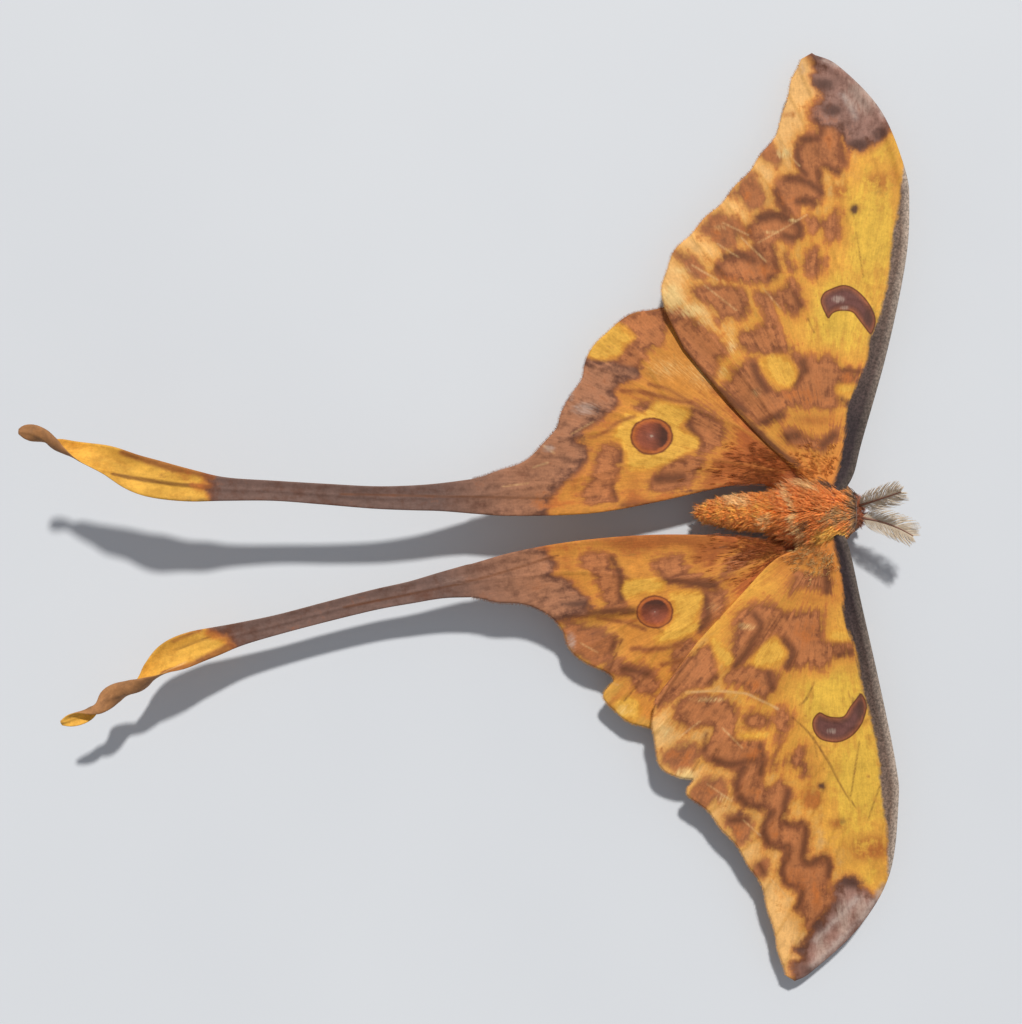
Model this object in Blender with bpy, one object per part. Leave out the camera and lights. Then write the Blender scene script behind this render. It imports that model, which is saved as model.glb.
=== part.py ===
"""A male long-tailed moon moth at rest: wings spread flat, standing on its six feet.

Sizes are in millimetres and are turned to metres when a mesh is made. While it is modelled, the
moth has its origin on the floor under the middle of the thorax, with the head towards +X, the
moth's left side towards +Y and up at +Z. The last step moves it so that the origin is at the
middle of its footprint.
"""

import math

import bmesh
import bpy
from mathutils import Vector
from mathutils.geometry import delaunay_2d_cdt

MM = 0.001

# Space kept between pieces that touch, and the least thickness of a membrane
GAP = 0.3
MEMBRANE = 0.5
VEIN_RISE = 0.2
VEIN_HALF_WIDTH = 0.42

# Body stations, front to back: x, half width, underside height, top height
THORAX_RINGS = (
    (-4.6, 2.5, 3.0, 6.0),
    (-4.0, 3.3, 2.2, 7.2),
    (-2.6, 4.0, 1.6, 8.3),
    (-0.6, 4.4, 1.3, 8.8),
    (1.4, 4.4, 1.6, 8.7),
    (2.7, 4.1, 3.2, 8.4),
    (3.7, 3.7, 4.8, 8.0),
    (4.5, 3.1, 5.7, 7.5),
    (4.9, 2.2, 6.2, 7.1),
)
THORAX_SIDES = 24
PILE_LUMP = 0.12

# x, half width, half height, height of the middle
ABDOMEN_RINGS = (
    (-4.9, 2.2, 1.5, 4.5),
    (-5.8, 2.7, 2.2, 4.5),
    (-8.6, 2.6, 2.3, 4.3),
    (-11.6, 2.2, 2.0, 3.9),
    (-14.0, 1.5, 1.4, 3.5),
    (-15.4, 0.6, 0.6, 3.2),
)
ABDOMEN_SEGMENTS = 7
SEGMENT_GROOVE = 0.14
ABDOMEN_SIDES = 16

HEAD_CENTRE = (3.9, 0.0, 3.7)
HEAD_RADII = (1.8, 2.0, 1.75)
EYE_CENTRE = (4.35, 1.6, 3.55)
EYE_RADIUS = 1.0
PALP_ROOT = (4.9, 0.55, 2.8)
PALP_TIP = (6.0, 0.75, 2.75)
PALP_RADIUS = 0.42

# Wing heights above the floor at the root, and how they fall towards the wing tip
FOREWING_ROOT_HEIGHT = 6.5
HINDWING_ROOT_HEIGHT = 4.9
ROOT_THICKENING = 0.5
ROOT_REACH = 3.0
COSTA_RISE = 0.3
COSTA_HALF_WIDTH = 1.1
SCALLOP = 0.28
FOREWING_SCALLOPS = 7
HINDWING_SCALLOPS = 5
OUTLINE_STEP = 1.7
VEIN_STEP = 3.4
FILL_STEP = 5.5

# The hindwing ends and the tail begins this far behind the thorax
TAIL_START = -44.0

# Outlines of the four wings in plan. Each runs from the root along the leading edge to the
# apex, down the outer margin, and back along the inner margin to the root.
FOREWINGS = {
    "left": {
        "leading": ((1.6, 1.5), (3.7, 4.4), (5.0, 9.0), (8.3, 20.3), (10.8, 31.6), (11.4, 38.6),
                    (11.0, 43.4), (8.1, 51.1), (2.9, 56.9), (-0.6, 58.6)),
        "outer": ((-1.9, 57.9), (-3.5, 53.5), (-5.2, 48.0), (-10.7, 40.8), (-17.3, 33.9),
                  (-19.2, 30.8), (-19.8, 27.6), (-19.5, 25.2)),
        "inner": ((-17.2, 20.6), (-13.9, 16.6), (-10.5, 12.6), (-6.7, 8.5), (-3.1, 5.4),
                  (-1.6, 3.6), (-1.0, 1.5)),
    },
    "right": {
        "leading": ((1.6, -1.5), (3.2, -4.2), (5.0, -11.8), (7.5, -22.3), (9.6, -32.0),
                    (10.0, -36.7), (9.1, -45.9), (5.3, -53.0), (-0.5, -58.7), (-2.7, -60.0)),
        "outer": ((-3.8, -59.3), (-5.2, -54.0), (-7.4, -46.8), (-12.6, -39.4), (-15.9, -36.2),
                  (-16.6, -35.3), (-15.8, -33.8), (-17.6, -33.5), (-20.2, -31.6), (-20.9, -27.5),
                  (-20.9, -23.6)),
        "inner": ((-15.5, -16.4), (-10.2, -10.6), (-5.9, -6.0), (-2.6, -4.3), (-1.0, -1.5)),
    },
}
HINDWINGS = {
    "left": {
        "leading": ((-1.4, 2.0), (-1.6, 4.4), (-3.4, 9.5), (-6.6, 17.0), (-10.9, 23.4),
                    (-15.4, 26.6)),
        "outer": ((-19.7, 26.0), (-24.6, 24.5), (-27.4, 22.0), (-29.5, 19.0), (-30.2, 16.3),
                  (-32.6, 12.5), (-33.5, 10.0), (-36.2, 7.1), (-40.0, 5.1), (-44.0, 4.1)),
        "inner": ((-44.0, -0.2), (-38.9, -0.5), (-29.1, -0.2), (-20.8, 1.2), (-12.5, 3.1),
                  (-8.0, 3.7), (-4.4, 3.9), (-3.0, 2.0)),
    },
    "right": {
        "leading": ((-1.4, -2.0), (-1.6, -4.4), (-3.4, -9.5), (-6.6, -17.0), (-11.4, -24.4),
                    (-16.4, -28.3)),
        "outer": ((-20.6, -27.8), (-24.4, -26.2), (-27.2, -23.6), (-25.6, -21.2), (-28.9, -19.3),
                  (-31.6, -17.0), (-32.5, -14.8), (-34.3, -12.6), (-38.2, -11.4), (-44.0, -10.7)),
        "inner": ((-44.0, -6.5), (-38.2, -4.9), (-30.5, -3.6), (-22.0, -2.9), (-14.5, -2.9),
                  (-9.4, -3.3), (-4.8, -3.9), (-3.0, -2.0)),
    },
}

# Where the veins leave the middle cell, and where they end: shares of the outer margin
FOREWING_CELL = {
    "front": (6.8, 25.5), "end": (3.4, 27.0), "back": (-0.6, 23.5), "fork": (-2.2, 16.5),
}
FOREWING_RADIUS = ((6.8, 25.5), (8.4, 36.0), (6.8, 46.0), (3.2, 54.0))
FOREWING_VEINS = (
    ("front", 0.03), ("front", 0.13), ("end", 0.27), ("end", 0.41),
    ("back", 0.56), ("fork", 0.72),
)
ANAL_VEIN_END = 0.9
VEIN_BOW = 1.3
HINDWING_CELL = {"front": (-18.8, 13.6), "end": (-21.8, 10.8), "back": (-20.8, 7.2)}
HINDWING_VEINS = (("front", 0.18), ("front", 0.36), ("end", 0.52), ("end", 0.70))

# Tail ribbons: x, y, height, width and roll in degrees at stations along the middle line
TAILS = {
    "left": (
        (-44.3, 1.95, 6.5, 4.1, 0), (-47.7, 1.85, 7.2, 3.5, 0), (-51.4, 1.75, 7.9, 3.1, 0),
        (-56.0, 1.8, 8.6, 2.8, 0), (-62.0, 2.2, 9.3, 2.6, 0), (-68.0, 2.6, 9.8, 2.5, 0),
        (-73.6, 2.8, 10.3, 2.9, 0),
    ),
    "right": (
        (-44.3, -8.6, 6.4, 4.0, 0), (-47.7, -9.2, 6.0, 3.3, 0), (-51.6, -10.1, 5.7, 2.8, 0),
        (-56.0, -11.0, 5.5, 2.6, 0), (-62.0, -12.5, 5.4, 2.5, 0), (-68.1, -14.1, 5.5, 2.5, 0),
        (-72.6, -15.2, 5.7, 2.9, 0),
    ),
}
TAIL_ENDS = {
    "left": (
        (-73.9, 2.8, 10.3, 2.9, 0), (-77.9, 3.2, 10.9, 3.9, 0), (-81.7, 3.9, 11.5, 4.5, 0),
        (-84.4, 4.7, 11.9, 4.4, 4), (-87.4, 6.1, 12.4, 3.6, 14), (-90.4, 7.0, 12.9, 3.0, 30),
        (-92.4, 7.7, 13.2, 2.6, 58), (-93.6, 8.3, 13.4, 2.2, 95), (-94.8, 8.9, 13.6, 2.1, 135),
        (-96.2, 9.4, 13.8, 2.0, 165), (-97.2, 9.6, 13.9, 1.4, 175), (-97.8, 9.6, 13.9, 0.6, 180),
    ),
    "right": (
        (-72.9, -15.3, 5.7, 2.9, 0), (-76.0, -16.2, 5.9, 3.6, 0), (-79.0, -17.1, 6.2, 4.1, 0),
        (-81.8, -18.4, 6.4, 4.4, 8), (-83.8, -20.0, 6.6, 3.8, 32), (-85.0, -21.1, 6.8, 3.1, 66),
        (-86.2, -21.8, 7.0, 2.7, 112), (-87.8, -22.5, 7.1, 2.5, 158), (-89.4, -23.4, 7.2, 2.3, 190),
        (-90.4, -24.3, 7.3, 2.0, 235), (-91.4, -25.0, 7.4, 1.9, 305), (-92.6, -25.5, 7.6, 1.8, 350),
        (-93.8, -25.9, 7.7, 1.4, 360), (-94.8, -26.2, 7.8, 0.6, 360),
    ),
}
TAIL_EDGE = 0.46
TAIL_STEP = 2.2

# Feathery feelers: root, heading and rise in degrees, length, sideways bend, vane roll angles
FEELERS = {
    "left": {"root": (4.5, 0.7, 5.0), "heading": 22, "rise": 56, "length": 6.9, "bend": 2,
             "vanes": (28, 218)},
    "right": {"root": (4.5, -0.7, 5.0), "heading": -4, "rise": 15, "length": 7.4, "bend": -30,
              "vanes": (12, 188)},
}
SHAFT_RADIUS = 0.36
RAYS_A_SIDE = 7
RAY_LENGTH = 2.9
RAY_SWEEP = 50
RAY_ROOT_RADIUS = 0.23
RAY_TIP_RADIUS = 0.13

# Legs of the left side: root, knee, end of the shin and end of the foot; the right side mirrors
LEGS = {
    "front": ((2.2, 1.4, 3.4), (3.3, 5.0, 3.3), (2.4, 8.4, 1.3), (2.0, 12.2, 0.34)),
    "middle": ((-0.8, 1.6, 3.2), (-2.4, 7.2, 3.3), (-3.2, 12.2, 1.2), (-4.0, 16.8, 0.34)),
    "hind": ((-2.4, 1.2, 3.2), (-8.4, 6.0, 2.9), (-14.4, 8.8, 1.0), (-19.6, 10.2, 0.34)),
}
THIGH_RADIUS = 0.78
SHIN_RADIUS = 0.58
FOOT_RADIUS = 0.38
FOOT_JOINTS = 5
LEG_SIDES = 8

YELLOW = (0.80, 0.52, 0.10)
RUST = (0.62, 0.26, 0.07)
MAUVE = (0.30, 0.14, 0.11)
STRAW = (0.55, 0.42, 0.26)
PILE = (0.66, 0.30, 0.10)
LEG_BROWN = (0.33, 0.12, 0.07)
EYE_BLACK = (0.03, 0.02, 0.02)


def clear_scene():
    for obj in list(bpy.data.objects):
        bpy.data.objects.remove(obj, do_unlink=True)


def make_material(name, colour, roughness):
    material = bpy.data.materials.new(name)
    material.use_nodes = True
    shader = material.node_tree.nodes["Principled BSDF"]
    shader.inputs["Base Color"].default_value = (*colour, 1.0)
    shader.inputs["Roughness"].default_value = roughness
    shader.inputs["Metallic"].default_value = 0.0
    return material


def make_object(name, points, faces, material=None):
    """A mesh object from points in millimetres, with its faces turned to point outwards."""
    mesh = bpy.data.meshes.new(name)
    mesh.from_pydata([Vector(p) * MM for p in points], [], faces)
    shape = bmesh.new()
    shape.from_mesh(mesh)
    bmesh.ops.triangulate(shape, faces=shape.faces)
    bmesh.ops.recalc_face_normals(shape, faces=shape.faces)
    shape.to_mesh(mesh)
    shape.free()
    if material:
        mesh.materials.append(material)
    obj = bpy.data.objects.new(name, mesh)
    bpy.context.scene.collection.objects.link(obj)
    return obj


def bake_modifier(obj):
    """Applies the object's modifiers to its mesh."""
    graph = bpy.context.evaluated_depsgraph_get()
    made = bpy.data.meshes.new_from_object(obj.evaluated_get(graph))
    obj.modifiers.clear()
    obj.data = made


def keep_largest_shell(obj):
    """Leaves only the largest closed surface, so a hollow or a scrap left by a Boolean goes."""
    shape = bmesh.new()
    shape.from_mesh(obj.data)
    unseen = set(shape.faces)
    shells = []
    while unseen:
        first = unseen.pop()
        shell = [first]
        queue = [first]
        while queue:
            for edge in queue.pop().edges:
                for face in edge.link_faces:
                    if face in unseen:
                        unseen.remove(face)
                        shell.append(face)
                        queue.append(face)
        shells.append(shell)
    shells.sort(key=len, reverse=True)
    loose = [face for shell in shells[1:] for face in shell]
    if loose:
        bmesh.ops.delete(shape, geom=loose, context="FACES")
    shape.to_mesh(obj.data)
    shape.free()


def join_pieces(name, pieces, material):
    """One closed body from several that overlap."""
    body = pieces[0]
    group = bpy.data.collections.new(name + "_pieces")
    for piece in pieces[1:]:
        group.objects.link(piece)
    union = body.modifiers.new("join", "BOOLEAN")
    union.operation = "UNION"
    union.operand_type = "COLLECTION"
    union.collection = group
    union.solver = "EXACT"
    bake_modifier(body)
    for piece in pieces[1:]:
        bpy.data.objects.remove(piece, do_unlink=True)
    bpy.data.collections.remove(group)
    keep_largest_shell(body)
    body.name = name
    body.data.materials.clear()
    body.data.materials.append(material)
    return body


def cut_clear(obj, cutters):
    """Cuts each cutter's shape out of the object."""
    for cutter in cutters:
        cut = obj.modifiers.new("cut", "BOOLEAN")
        cut.operation = "DIFFERENCE"
        cut.object = cutter
        cut.solver = "EXACT"
        bake_modifier(obj)
    keep_largest_shell(obj)


def hide_guide(obj):
    obj.hide_render = True
    obj.display_type = "WIRE"
    return obj


def smooth_line(points, steps=8):
    """Points along a Catmull-Rom curve through the given points, of any dimension."""
    ends = [tuple(2 * a - b for a, b in zip(points[0], points[1]))]
    tail = [tuple(2 * a - b for a, b in zip(points[-1], points[-2]))]
    knots = ends + [tuple(p) for p in points] + tail
    line = []
    for p0, p1, p2, p3 in zip(knots, knots[1:], knots[2:], knots[3:]):
        for step in range(steps):
            t = step / steps
            line.append(tuple(
                0.5 * (2 * b + (c - a) * t + (2 * a - 5 * b + 4 * c - d) * t * t
                       + (3 * b - a - 3 * c + d) * t ** 3)
                for a, b, c, d in zip(p0, p1, p2, p3)
            ))
    line.append(tuple(points[-1]))
    return line


def plan_distance(a, b):
    return math.hypot(a[0] - b[0], a[1] - b[1])


def line_length(line):
    return sum(plan_distance(a, b) for a, b in zip(line, line[1:]))


def point_at(line, share):
    """The point at a share of a line's length in plan."""
    left = line_length(line) * share
    for a, b in zip(line, line[1:]):
        step = plan_distance(a, b)
        if left <= step and step > 0:
            return tuple(p + (q - p) * left / step for p, q in zip(a, b))
        left -= step
    return tuple(line[-1])


def even_points(line, spacing):
    count = max(2, round(line_length(line) / spacing))
    return [point_at(line, i / count) for i in range(count + 1)]


def distance_to_line(point, line):
    """Shortest distance in plan from a point to a polyline."""
    best = 1e9
    px, py = point[0], point[1]
    for a, b in zip(line, line[1:]):
        dx, dy = b[0] - a[0], b[1] - a[1]
        span = dx * dx + dy * dy or 1e-12
        t = min(1.0, max(0.0, ((px - a[0]) * dx + (py - a[1]) * dy) / span))
        best = min(best, math.hypot(px - a[0] - t * dx, py - a[1] - t * dy))
    return best


def inside(point, outline):
    """True if a point lies inside a closed outline in plan."""
    x, y = point[0], point[1]
    crossings = False
    for a, b in zip(outline, outline[1:] + outline[:1]):
        if (a[1] > y) != (b[1] > y):
            if x < a[0] + (y - a[1]) * (b[0] - a[0]) / (b[1] - a[1]):
                crossings = not crossings
    return crossings


def fade(value, low, high):
    """0 below low, 1 above high and smooth between them."""
    t = min(1.0, max(0.0, (value - low) / (high - low)))
    return t * t * (3 - 2 * t)


def forewing_height(x, y):
    span = abs(y)
    return FOREWING_ROOT_HEIGHT - 0.034 * span - 0.0005 * span ** 2


def hindwing_height(side, x, y):
    """The hindwing lies under the forewing and lifts towards its tail. The right one has a pleat
    that sets the part beside the tail above the rest."""
    height = HINDWING_ROOT_HEIGHT - 0.045 * abs(y) + 1.7 * fade(-x, 20, 42)
    if side == "right":
        pleat = -13.6 + 0.10 * (x + 33)
        height += 0.5 * (fade(y, pleat - 1.0, pleat + 0.8) - 1) * fade(-x, 14, 24)
    return height


def scalloped(line, waves, depth, side):
    """An outer margin whose edge dips a little between the veins."""
    count = max(len(line), waves * 5)
    points = [point_at(line, i / count) for i in range(count + 1)]
    made = []
    for i, p in enumerate(points):
        before, after = points[max(0, i - 1)], points[min(count, i + 1)]
        tx, ty = after[0] - before[0], after[1] - before[1]
        size = math.hypot(tx, ty) or 1.0
        ends = fade(i, 0, 3) * fade(count - i, 0, 3)
        wave = depth * math.sin(math.pi * waves * i / count) ** 2 * ends
        made.append((p[0] + side * wave * ty / size, p[1] - side * wave * tx / size))
    return made


def wing_outline(shape, waves, side):
    leading = even_points(smooth_line(shape["leading"]), 3.0)
    outer_line = smooth_line(shape["outer"])
    outer = scalloped(even_points(outer_line, OUTLINE_STEP), waves, SCALLOP, side)
    inner = even_points(smooth_line(shape["inner"]), 2.8)
    return leading + outer + inner, leading, outer_line


def make_wing(name, shape, veins, height, waves, side, material):
    """A membrane with raised veins and a thick leading edge. One triangulation in plan serves both
    faces, so they never cross."""
    outline, leading, _ = wing_outline(shape, waves, side)
    root = shape["leading"][1]

    def rise(point):
        near = min((distance_to_line(point, vein) for vein in veins), default=9.0)
        vein = VEIN_RISE * max(0.0, 1 - near / VEIN_HALF_WIDTH)
        edge = distance_to_line(point, leading)
        costa = COSTA_RISE * max(0.0, 1 - abs(edge - COSTA_HALF_WIDTH) / COSTA_HALF_WIDTH)
        thick = ROOT_THICKENING * math.exp(-((plan_distance(point, root) / ROOT_REACH) ** 2))
        return max(vein, costa) + thick

    points = [Vector(p[:2]) for p in outline]
    edges = [(i, (i + 1) % len(points)) for i in range(len(points))]

    def add_line(line):
        first = len(points)
        points.extend(Vector(p[:2]) for p in line)
        edges.extend((first + i, first + i + 1) for i in range(len(line) - 1))

    ridge_lines = list(veins) + [offset_line(leading, COSTA_HALF_WIDTH, -side)]
    for number, vein in enumerate(ridge_lines):
        stations = [p for p in even_points(vein, VEIN_STEP) if inside(p, outline)]
        keep = [p for p in stations if distance_to_line(p, outline + outline[:1]) > 0.7]
        if len(keep) < 2:
            continue
        add_line(keep)
        half = VEIN_HALF_WIDTH if number < len(veins) else COSTA_HALF_WIDTH * 0.95
        for turn in (-1, 1) if number < len(veins) else (-side,):
            beside = [p for p in offset_line(keep, half, turn)
                      if distance_to_line(p, outline + outline[:1]) > 0.35 and inside(p, outline)]
            clear = [p for p in beside
                     if all(distance_to_line(p, other) > half * 0.9 for other in ridge_lines)]
            if len(clear) > 1:
                add_line(clear)

    xs, ys = [p[0] for p in outline], [p[1] for p in outline]
    row = 0
    y = min(ys)
    while y < max(ys):
        x = min(xs) + (row % 2) * FILL_STEP / 2
        while x < max(xs):
            spot = (x, y)
            clear_of_rim = distance_to_line(spot, outline + outline[:1]) > 1.6
            if inside(spot, outline) and clear_of_rim:
                if all(distance_to_line(spot, line) > 1.5 for line in ridge_lines):
                    points.append(Vector(spot))
            x += FILL_STEP
        y += FILL_STEP * 0.87
        row += 1

    plan, _, faces, _, _, _ = delaunay_2d_cdt(points, edges, [], 1, 1e-4)
    top = [(p.x, p.y, height(p.x, p.y) + MEMBRANE / 2 + rise(p)) for p in plan]
    low = [(p.x, p.y, height(p.x, p.y) - MEMBRANE / 2 - rise(p)) for p in plan]
    count = len(plan)
    used = {}
    for face in faces:
        for a, b in zip(face, list(face[1:]) + [face[0]]):
            used[(a, b)] = used.get((a, b), 0) + 1
    walls = [(b, a, a + count, b + count) for a, b in used if (b, a) not in used]
    skin = [tuple(f) for f in faces] + [tuple(i + count for i in reversed(f)) for f in faces]
    return make_object(name, top + low, skin + walls, material)


def offset_line(line, distance, turn):
    """A line beside another in plan, to the left of its direction for turn 1."""
    made = []
    for i, p in enumerate(line):
        a, b = line[max(0, i - 1)], line[min(len(line) - 1, i + 1)]
        size = plan_distance(a, b) or 1.0
        made.append((p[0] - turn * distance * (b[1] - a[1]) / size,
                     p[1] + turn * distance * (b[0] - a[0]) / size))
    return made


def forewing_veins(side_sign, shape):
    """The stem and the cell, then one vein to each place on the outer margin."""
    outer = smooth_line(shape["outer"])
    cell = {key: (x, side_sign * y) for key, (x, y) in FOREWING_CELL.items()}
    root_front = (1.8, side_sign * 5.2)
    root_back = (-0.4, side_sign * 5.2)
    veins = [
        smooth_line((root_front, (4.9, side_sign * 15.0), cell["front"])),
        smooth_line((root_back, cell["fork"], cell["back"], cell["end"], cell["front"])),
    ]
    for start, share in FOREWING_VEINS:
        a = cell[start]
        b = point_at(outer, share)
        middle = ((a[0] + b[0]) / 2 + VEIN_BOW * (1 - share) ** 2, (a[1] + b[1]) / 2 + side_sign * 0.8)
        veins.append(smooth_line((a, middle, b)))
    veins.append(smooth_line([(x, side_sign * y) for x, y in FOREWING_RADIUS]))
    end = point_at(outer, ANAL_VEIN_END)
    veins.append(smooth_line(((-1.6, side_sign * 5.6), (-7.6, side_sign * 14.2), end)))
    return veins


def hindwing_veins(side_sign, shape):
    """The cell ends at the eye spot. The last veins run side by side into the tail."""
    outer = smooth_line(shape["outer"])
    shift = 0.0 if side_sign > 0 else 1.6
    cell = {key: (x, side_sign * (y + shift)) for key, (x, y) in HINDWING_CELL.items()}
    root = (-3.2, side_sign * 5.6)
    tail_middle = (shape["inner"][0][1] + shape["outer"][-1][1]) / 2
    veins = [
        smooth_line((root, (-10.0, side_sign * 10.6), cell["front"], cell["end"])),
        smooth_line(((-4.6, side_sign * 5.0), (-12.0, side_sign * (6.4 + shift)), cell["back"],
                     cell["end"])),
        smooth_line((cell["back"], (-30.0, side_sign * (4.4 + 2 * shift)), (TAIL_START, tail_middle))),
        smooth_line(((-3.0, side_sign * 6.6), (-7.6, side_sign * 15.4), point_at(outer, 0.02))),
    ]
    for start, share in HINDWING_VEINS:
        a = cell[start]
        b = point_at(outer, share)
        middle = ((a[0] + b[0]) / 2, (a[1] + b[1]) / 2 + side_sign * 0.5)
        veins.append(smooth_line((a, middle, b)))
    return veins


def make_tube(name, path, radii, sides, material=None, flat_floor=False):
    """A closed tube through a path, with a radius at each point of it."""
    points, faces = [], []
    frames = turned_frames(path)
    for centre, radius, (across, up) in zip(path, radii, frames):
        for i in range(sides):
            angle = 2 * math.pi * (i + 0.5) / sides
            spot = Vector(centre) + radius * (math.cos(angle) * across + math.sin(angle) * up)
            if flat_floor:
                spot.z = max(0.0, spot.z)
            points.append(spot)
    add_ring_faces(faces, len(path), sides)
    return make_object(name, points, faces, material)


def add_ring_faces(faces, rings, sides):
    for ring in range(rings - 1):
        for i in range(sides):
            j = (i + 1) % sides
            a, b = ring * sides, (ring + 1) * sides
            faces.append((a + i, a + j, b + j, b + i))
    faces.append(tuple(range(sides)))
    faces.append(tuple((rings - 1) * sides + i for i in range(sides)))


def turned_frames(path):
    """At each point of a path, a level direction across it and the one at right angles to both."""
    frames = []
    for i, _ in enumerate(path):
        ahead = Vector(path[min(i + 1, len(path) - 1)]) - Vector(path[max(i - 1, 0)])
        ahead.normalize()
        across = Vector((0, 0, 1)).cross(ahead)
        across = across.normalized() if across.length > 1e-6 else Vector((0, 1, 0))
        frames.append((across, ahead.cross(across)))
    return frames


def make_ribbon(name, stations, material):
    """A flat, tapering ribbon with a raised middle line, rolled as its stations say."""
    line = smooth_line(stations, 6)
    count = max(4, round(line_length(line) / TAIL_STEP))
    spots = [point_at(line, i / count) for i in range(count + 1)]
    if stations[-1][3] < 1.0:
        extra = [s for s in stations if s[4] > 20]
        spots = sorted(set(spots) | set(extra), key=lambda s: -s[0])
        spots = [s for i, s in enumerate(spots) if i == 0 or spots[i - 1][0] - s[0] > 0.35]
        if plan_distance(spots[-1], stations[-1]) > 1e-6:
            spots[-1] = stations[-1]
    path = [s[:3] for s in spots]
    points, faces = [], []
    for spot, (across, up) in zip(spots, turned_frames(path)):
        roll = math.radians(spot[4])
        side = math.cos(roll) * across + math.sin(roll) * up
        face = math.cos(roll) * up - math.sin(roll) * across
        half = spot[3] / 2
        edge, middle = TAIL_EDGE / 2, MEMBRANE / 2 + VEIN_RISE
        profile = ((half, -edge), (half, edge), (0, middle), (-half, edge), (-half, -edge), (0, -middle))
        for along, out in profile:
            points.append(Vector(spot[:3]) + along * side + out * face)
    add_ring_faces(faces, len(spots), 6)
    return make_object(name, points, faces, material)


def make_body(name, rings, sides, lump, material=None, grow=0.0):
    """A body lofted through oval rings. Each ring is x, half width, low and high edge."""
    fine = smooth_line(rings, 2)
    points, faces = [], []
    for k, (x, half, low, high) in enumerate(fine):
        middle, tall = (low + high) / 2, (high - low) / 2
        for i in range(sides):
            angle = 2 * math.pi * i / sides
            tuft = lump * math.sin(2.3 * x + 5 * angle) * math.sin(3 * angle + 1.1 * x)
            end = 0.0 if k in (0, len(fine) - 1) else tuft
            points.append((
                x + (grow if x > 0 else -grow) * (k in (0, len(fine) - 1)),
                (half + grow + end) * math.cos(angle),
                middle + (tall + grow + end) * math.sin(angle),
            ))
    add_ring_faces(faces, len(fine), sides)
    return make_object(name, points, faces, material)


def make_ball(name, centre, radii, material=None, grow=0.0, segments=20, rings=12):
    """An oval ball whose poles lie on the front to back line."""
    points, faces = [], []
    for k in range(1, rings):
        polar = math.pi * k / rings
        for i in range(segments):
            angle = 2 * math.pi * i / segments
            points.append((
                centre[0] + (radii[0] + grow) * math.cos(polar),
                centre[1] + (radii[1] + grow) * math.sin(polar) * math.cos(angle),
                centre[2] + (radii[2] + grow) * math.sin(polar) * math.sin(angle),
            ))
    add_ring_faces(faces, rings - 1, segments)
    faces = faces[:-2]
    for pole, ring in ((1, 0), (-1, rings - 2)):
        tip = len(points)
        points.append((centre[0] + pole * (radii[0] + grow), centre[1], centre[2]))
        for i in range(segments):
            faces.append((ring * segments + i, ring * segments + (i + 1) % segments, tip))
    return make_object(name, points, faces, material)


def make_abdomen(material):
    """Seven rings of the abdomen, each a little proud of the groove before the next."""
    line = [(x, 0.0, half, tall, middle) for x, half, tall, middle in smooth_line(ABDOMEN_RINGS, 8)]
    rings = []
    steps = ABDOMEN_SEGMENTS * 2
    for i in range(steps + 1):
        x, _, half, tall, middle = point_at(line, i / steps)
        groove = SEGMENT_GROOVE if i % 2 == 0 and 0 < i < steps else 0.0
        rings.append((x, half - groove, middle - tall + groove, middle + tall - groove))
    points, faces = [], []
    for x, half, low, high in rings:
        for i in range(ABDOMEN_SIDES):
            angle = 2 * math.pi * i / ABDOMEN_SIDES
            z = (low + high) / 2 + (high - low) / 2 * math.sin(angle)
            points.append((x, half * math.cos(angle), z))
    add_ring_faces(faces, len(rings), ABDOMEN_SIDES)
    return make_object("abdomen", points, faces, material)


def feeler_line(feeler, count):
    """Points and directions along a feeler's shaft, which bends sideways as it goes out."""
    spot = Vector(feeler["root"])
    line = [spot.copy()]
    ahead = []
    for i in range(count):
        turn = math.radians(feeler["heading"] + feeler["bend"] * i / (count - 1))
        rise = math.radians(feeler["rise"] * (1 - 0.25 * i / (count - 1)))
        step = Vector((math.cos(rise) * math.cos(turn), math.cos(rise) * math.sin(turn), math.sin(rise)))
        ahead.append(step)
        spot = spot + step * feeler["length"] / count
        line.append(spot.copy())
    ahead.append(ahead[-1])
    return line, ahead


def make_feeler(side, material):
    """A shaft with two rows of rays, as a feather has, folded a little along the shaft."""
    feeler = FEELERS[side]
    steps = RAYS_A_SIDE + 2
    line, ahead = feeler_line(feeler, steps)
    radii = [SHAFT_RADIUS * (1 - 0.45 * i / steps) for i in range(steps + 1)]
    shaft = make_tube("feeler_" + side, line, radii, 6)
    pieces = [shaft]
    for number in range(RAYS_A_SIDE):
        share = number / (RAYS_A_SIDE - 1)
        spot, t = line[number + 2], ahead[number + 2]
        left = Vector((0, 0, 1)).cross(t).normalized()
        up = t.cross(left)
        length = RAY_LENGTH * (0.55 + 0.45 * math.sin(math.pi * (0.12 + 0.76 * share)) ** 0.8)
        if number == RAYS_A_SIDE - 1:
            length *= 0.75
        for vane in feeler["vanes"]:
            roll = math.radians(vane)
            outward = math.cos(roll) * left + math.sin(roll) * up
            sweep = math.radians(RAY_SWEEP - 14 * share)
            way = math.cos(sweep) * t + math.sin(sweep) * outward
            bent = (way + 0.35 * t).normalized()
            knee = spot + way * length * 0.55
            tip = knee + bent * length * 0.45
            start = spot - way * SHAFT_RADIUS * 0.4
            ray = make_tube(f"ray_{side}_{number}_{vane}", (start, knee, tip),
                            (RAY_ROOT_RADIUS, RAY_ROOT_RADIUS * 0.9, RAY_TIP_RADIUS), 4)
            pieces.append(ray)
    return join_pieces("antenna_" + side, pieces, material)


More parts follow.
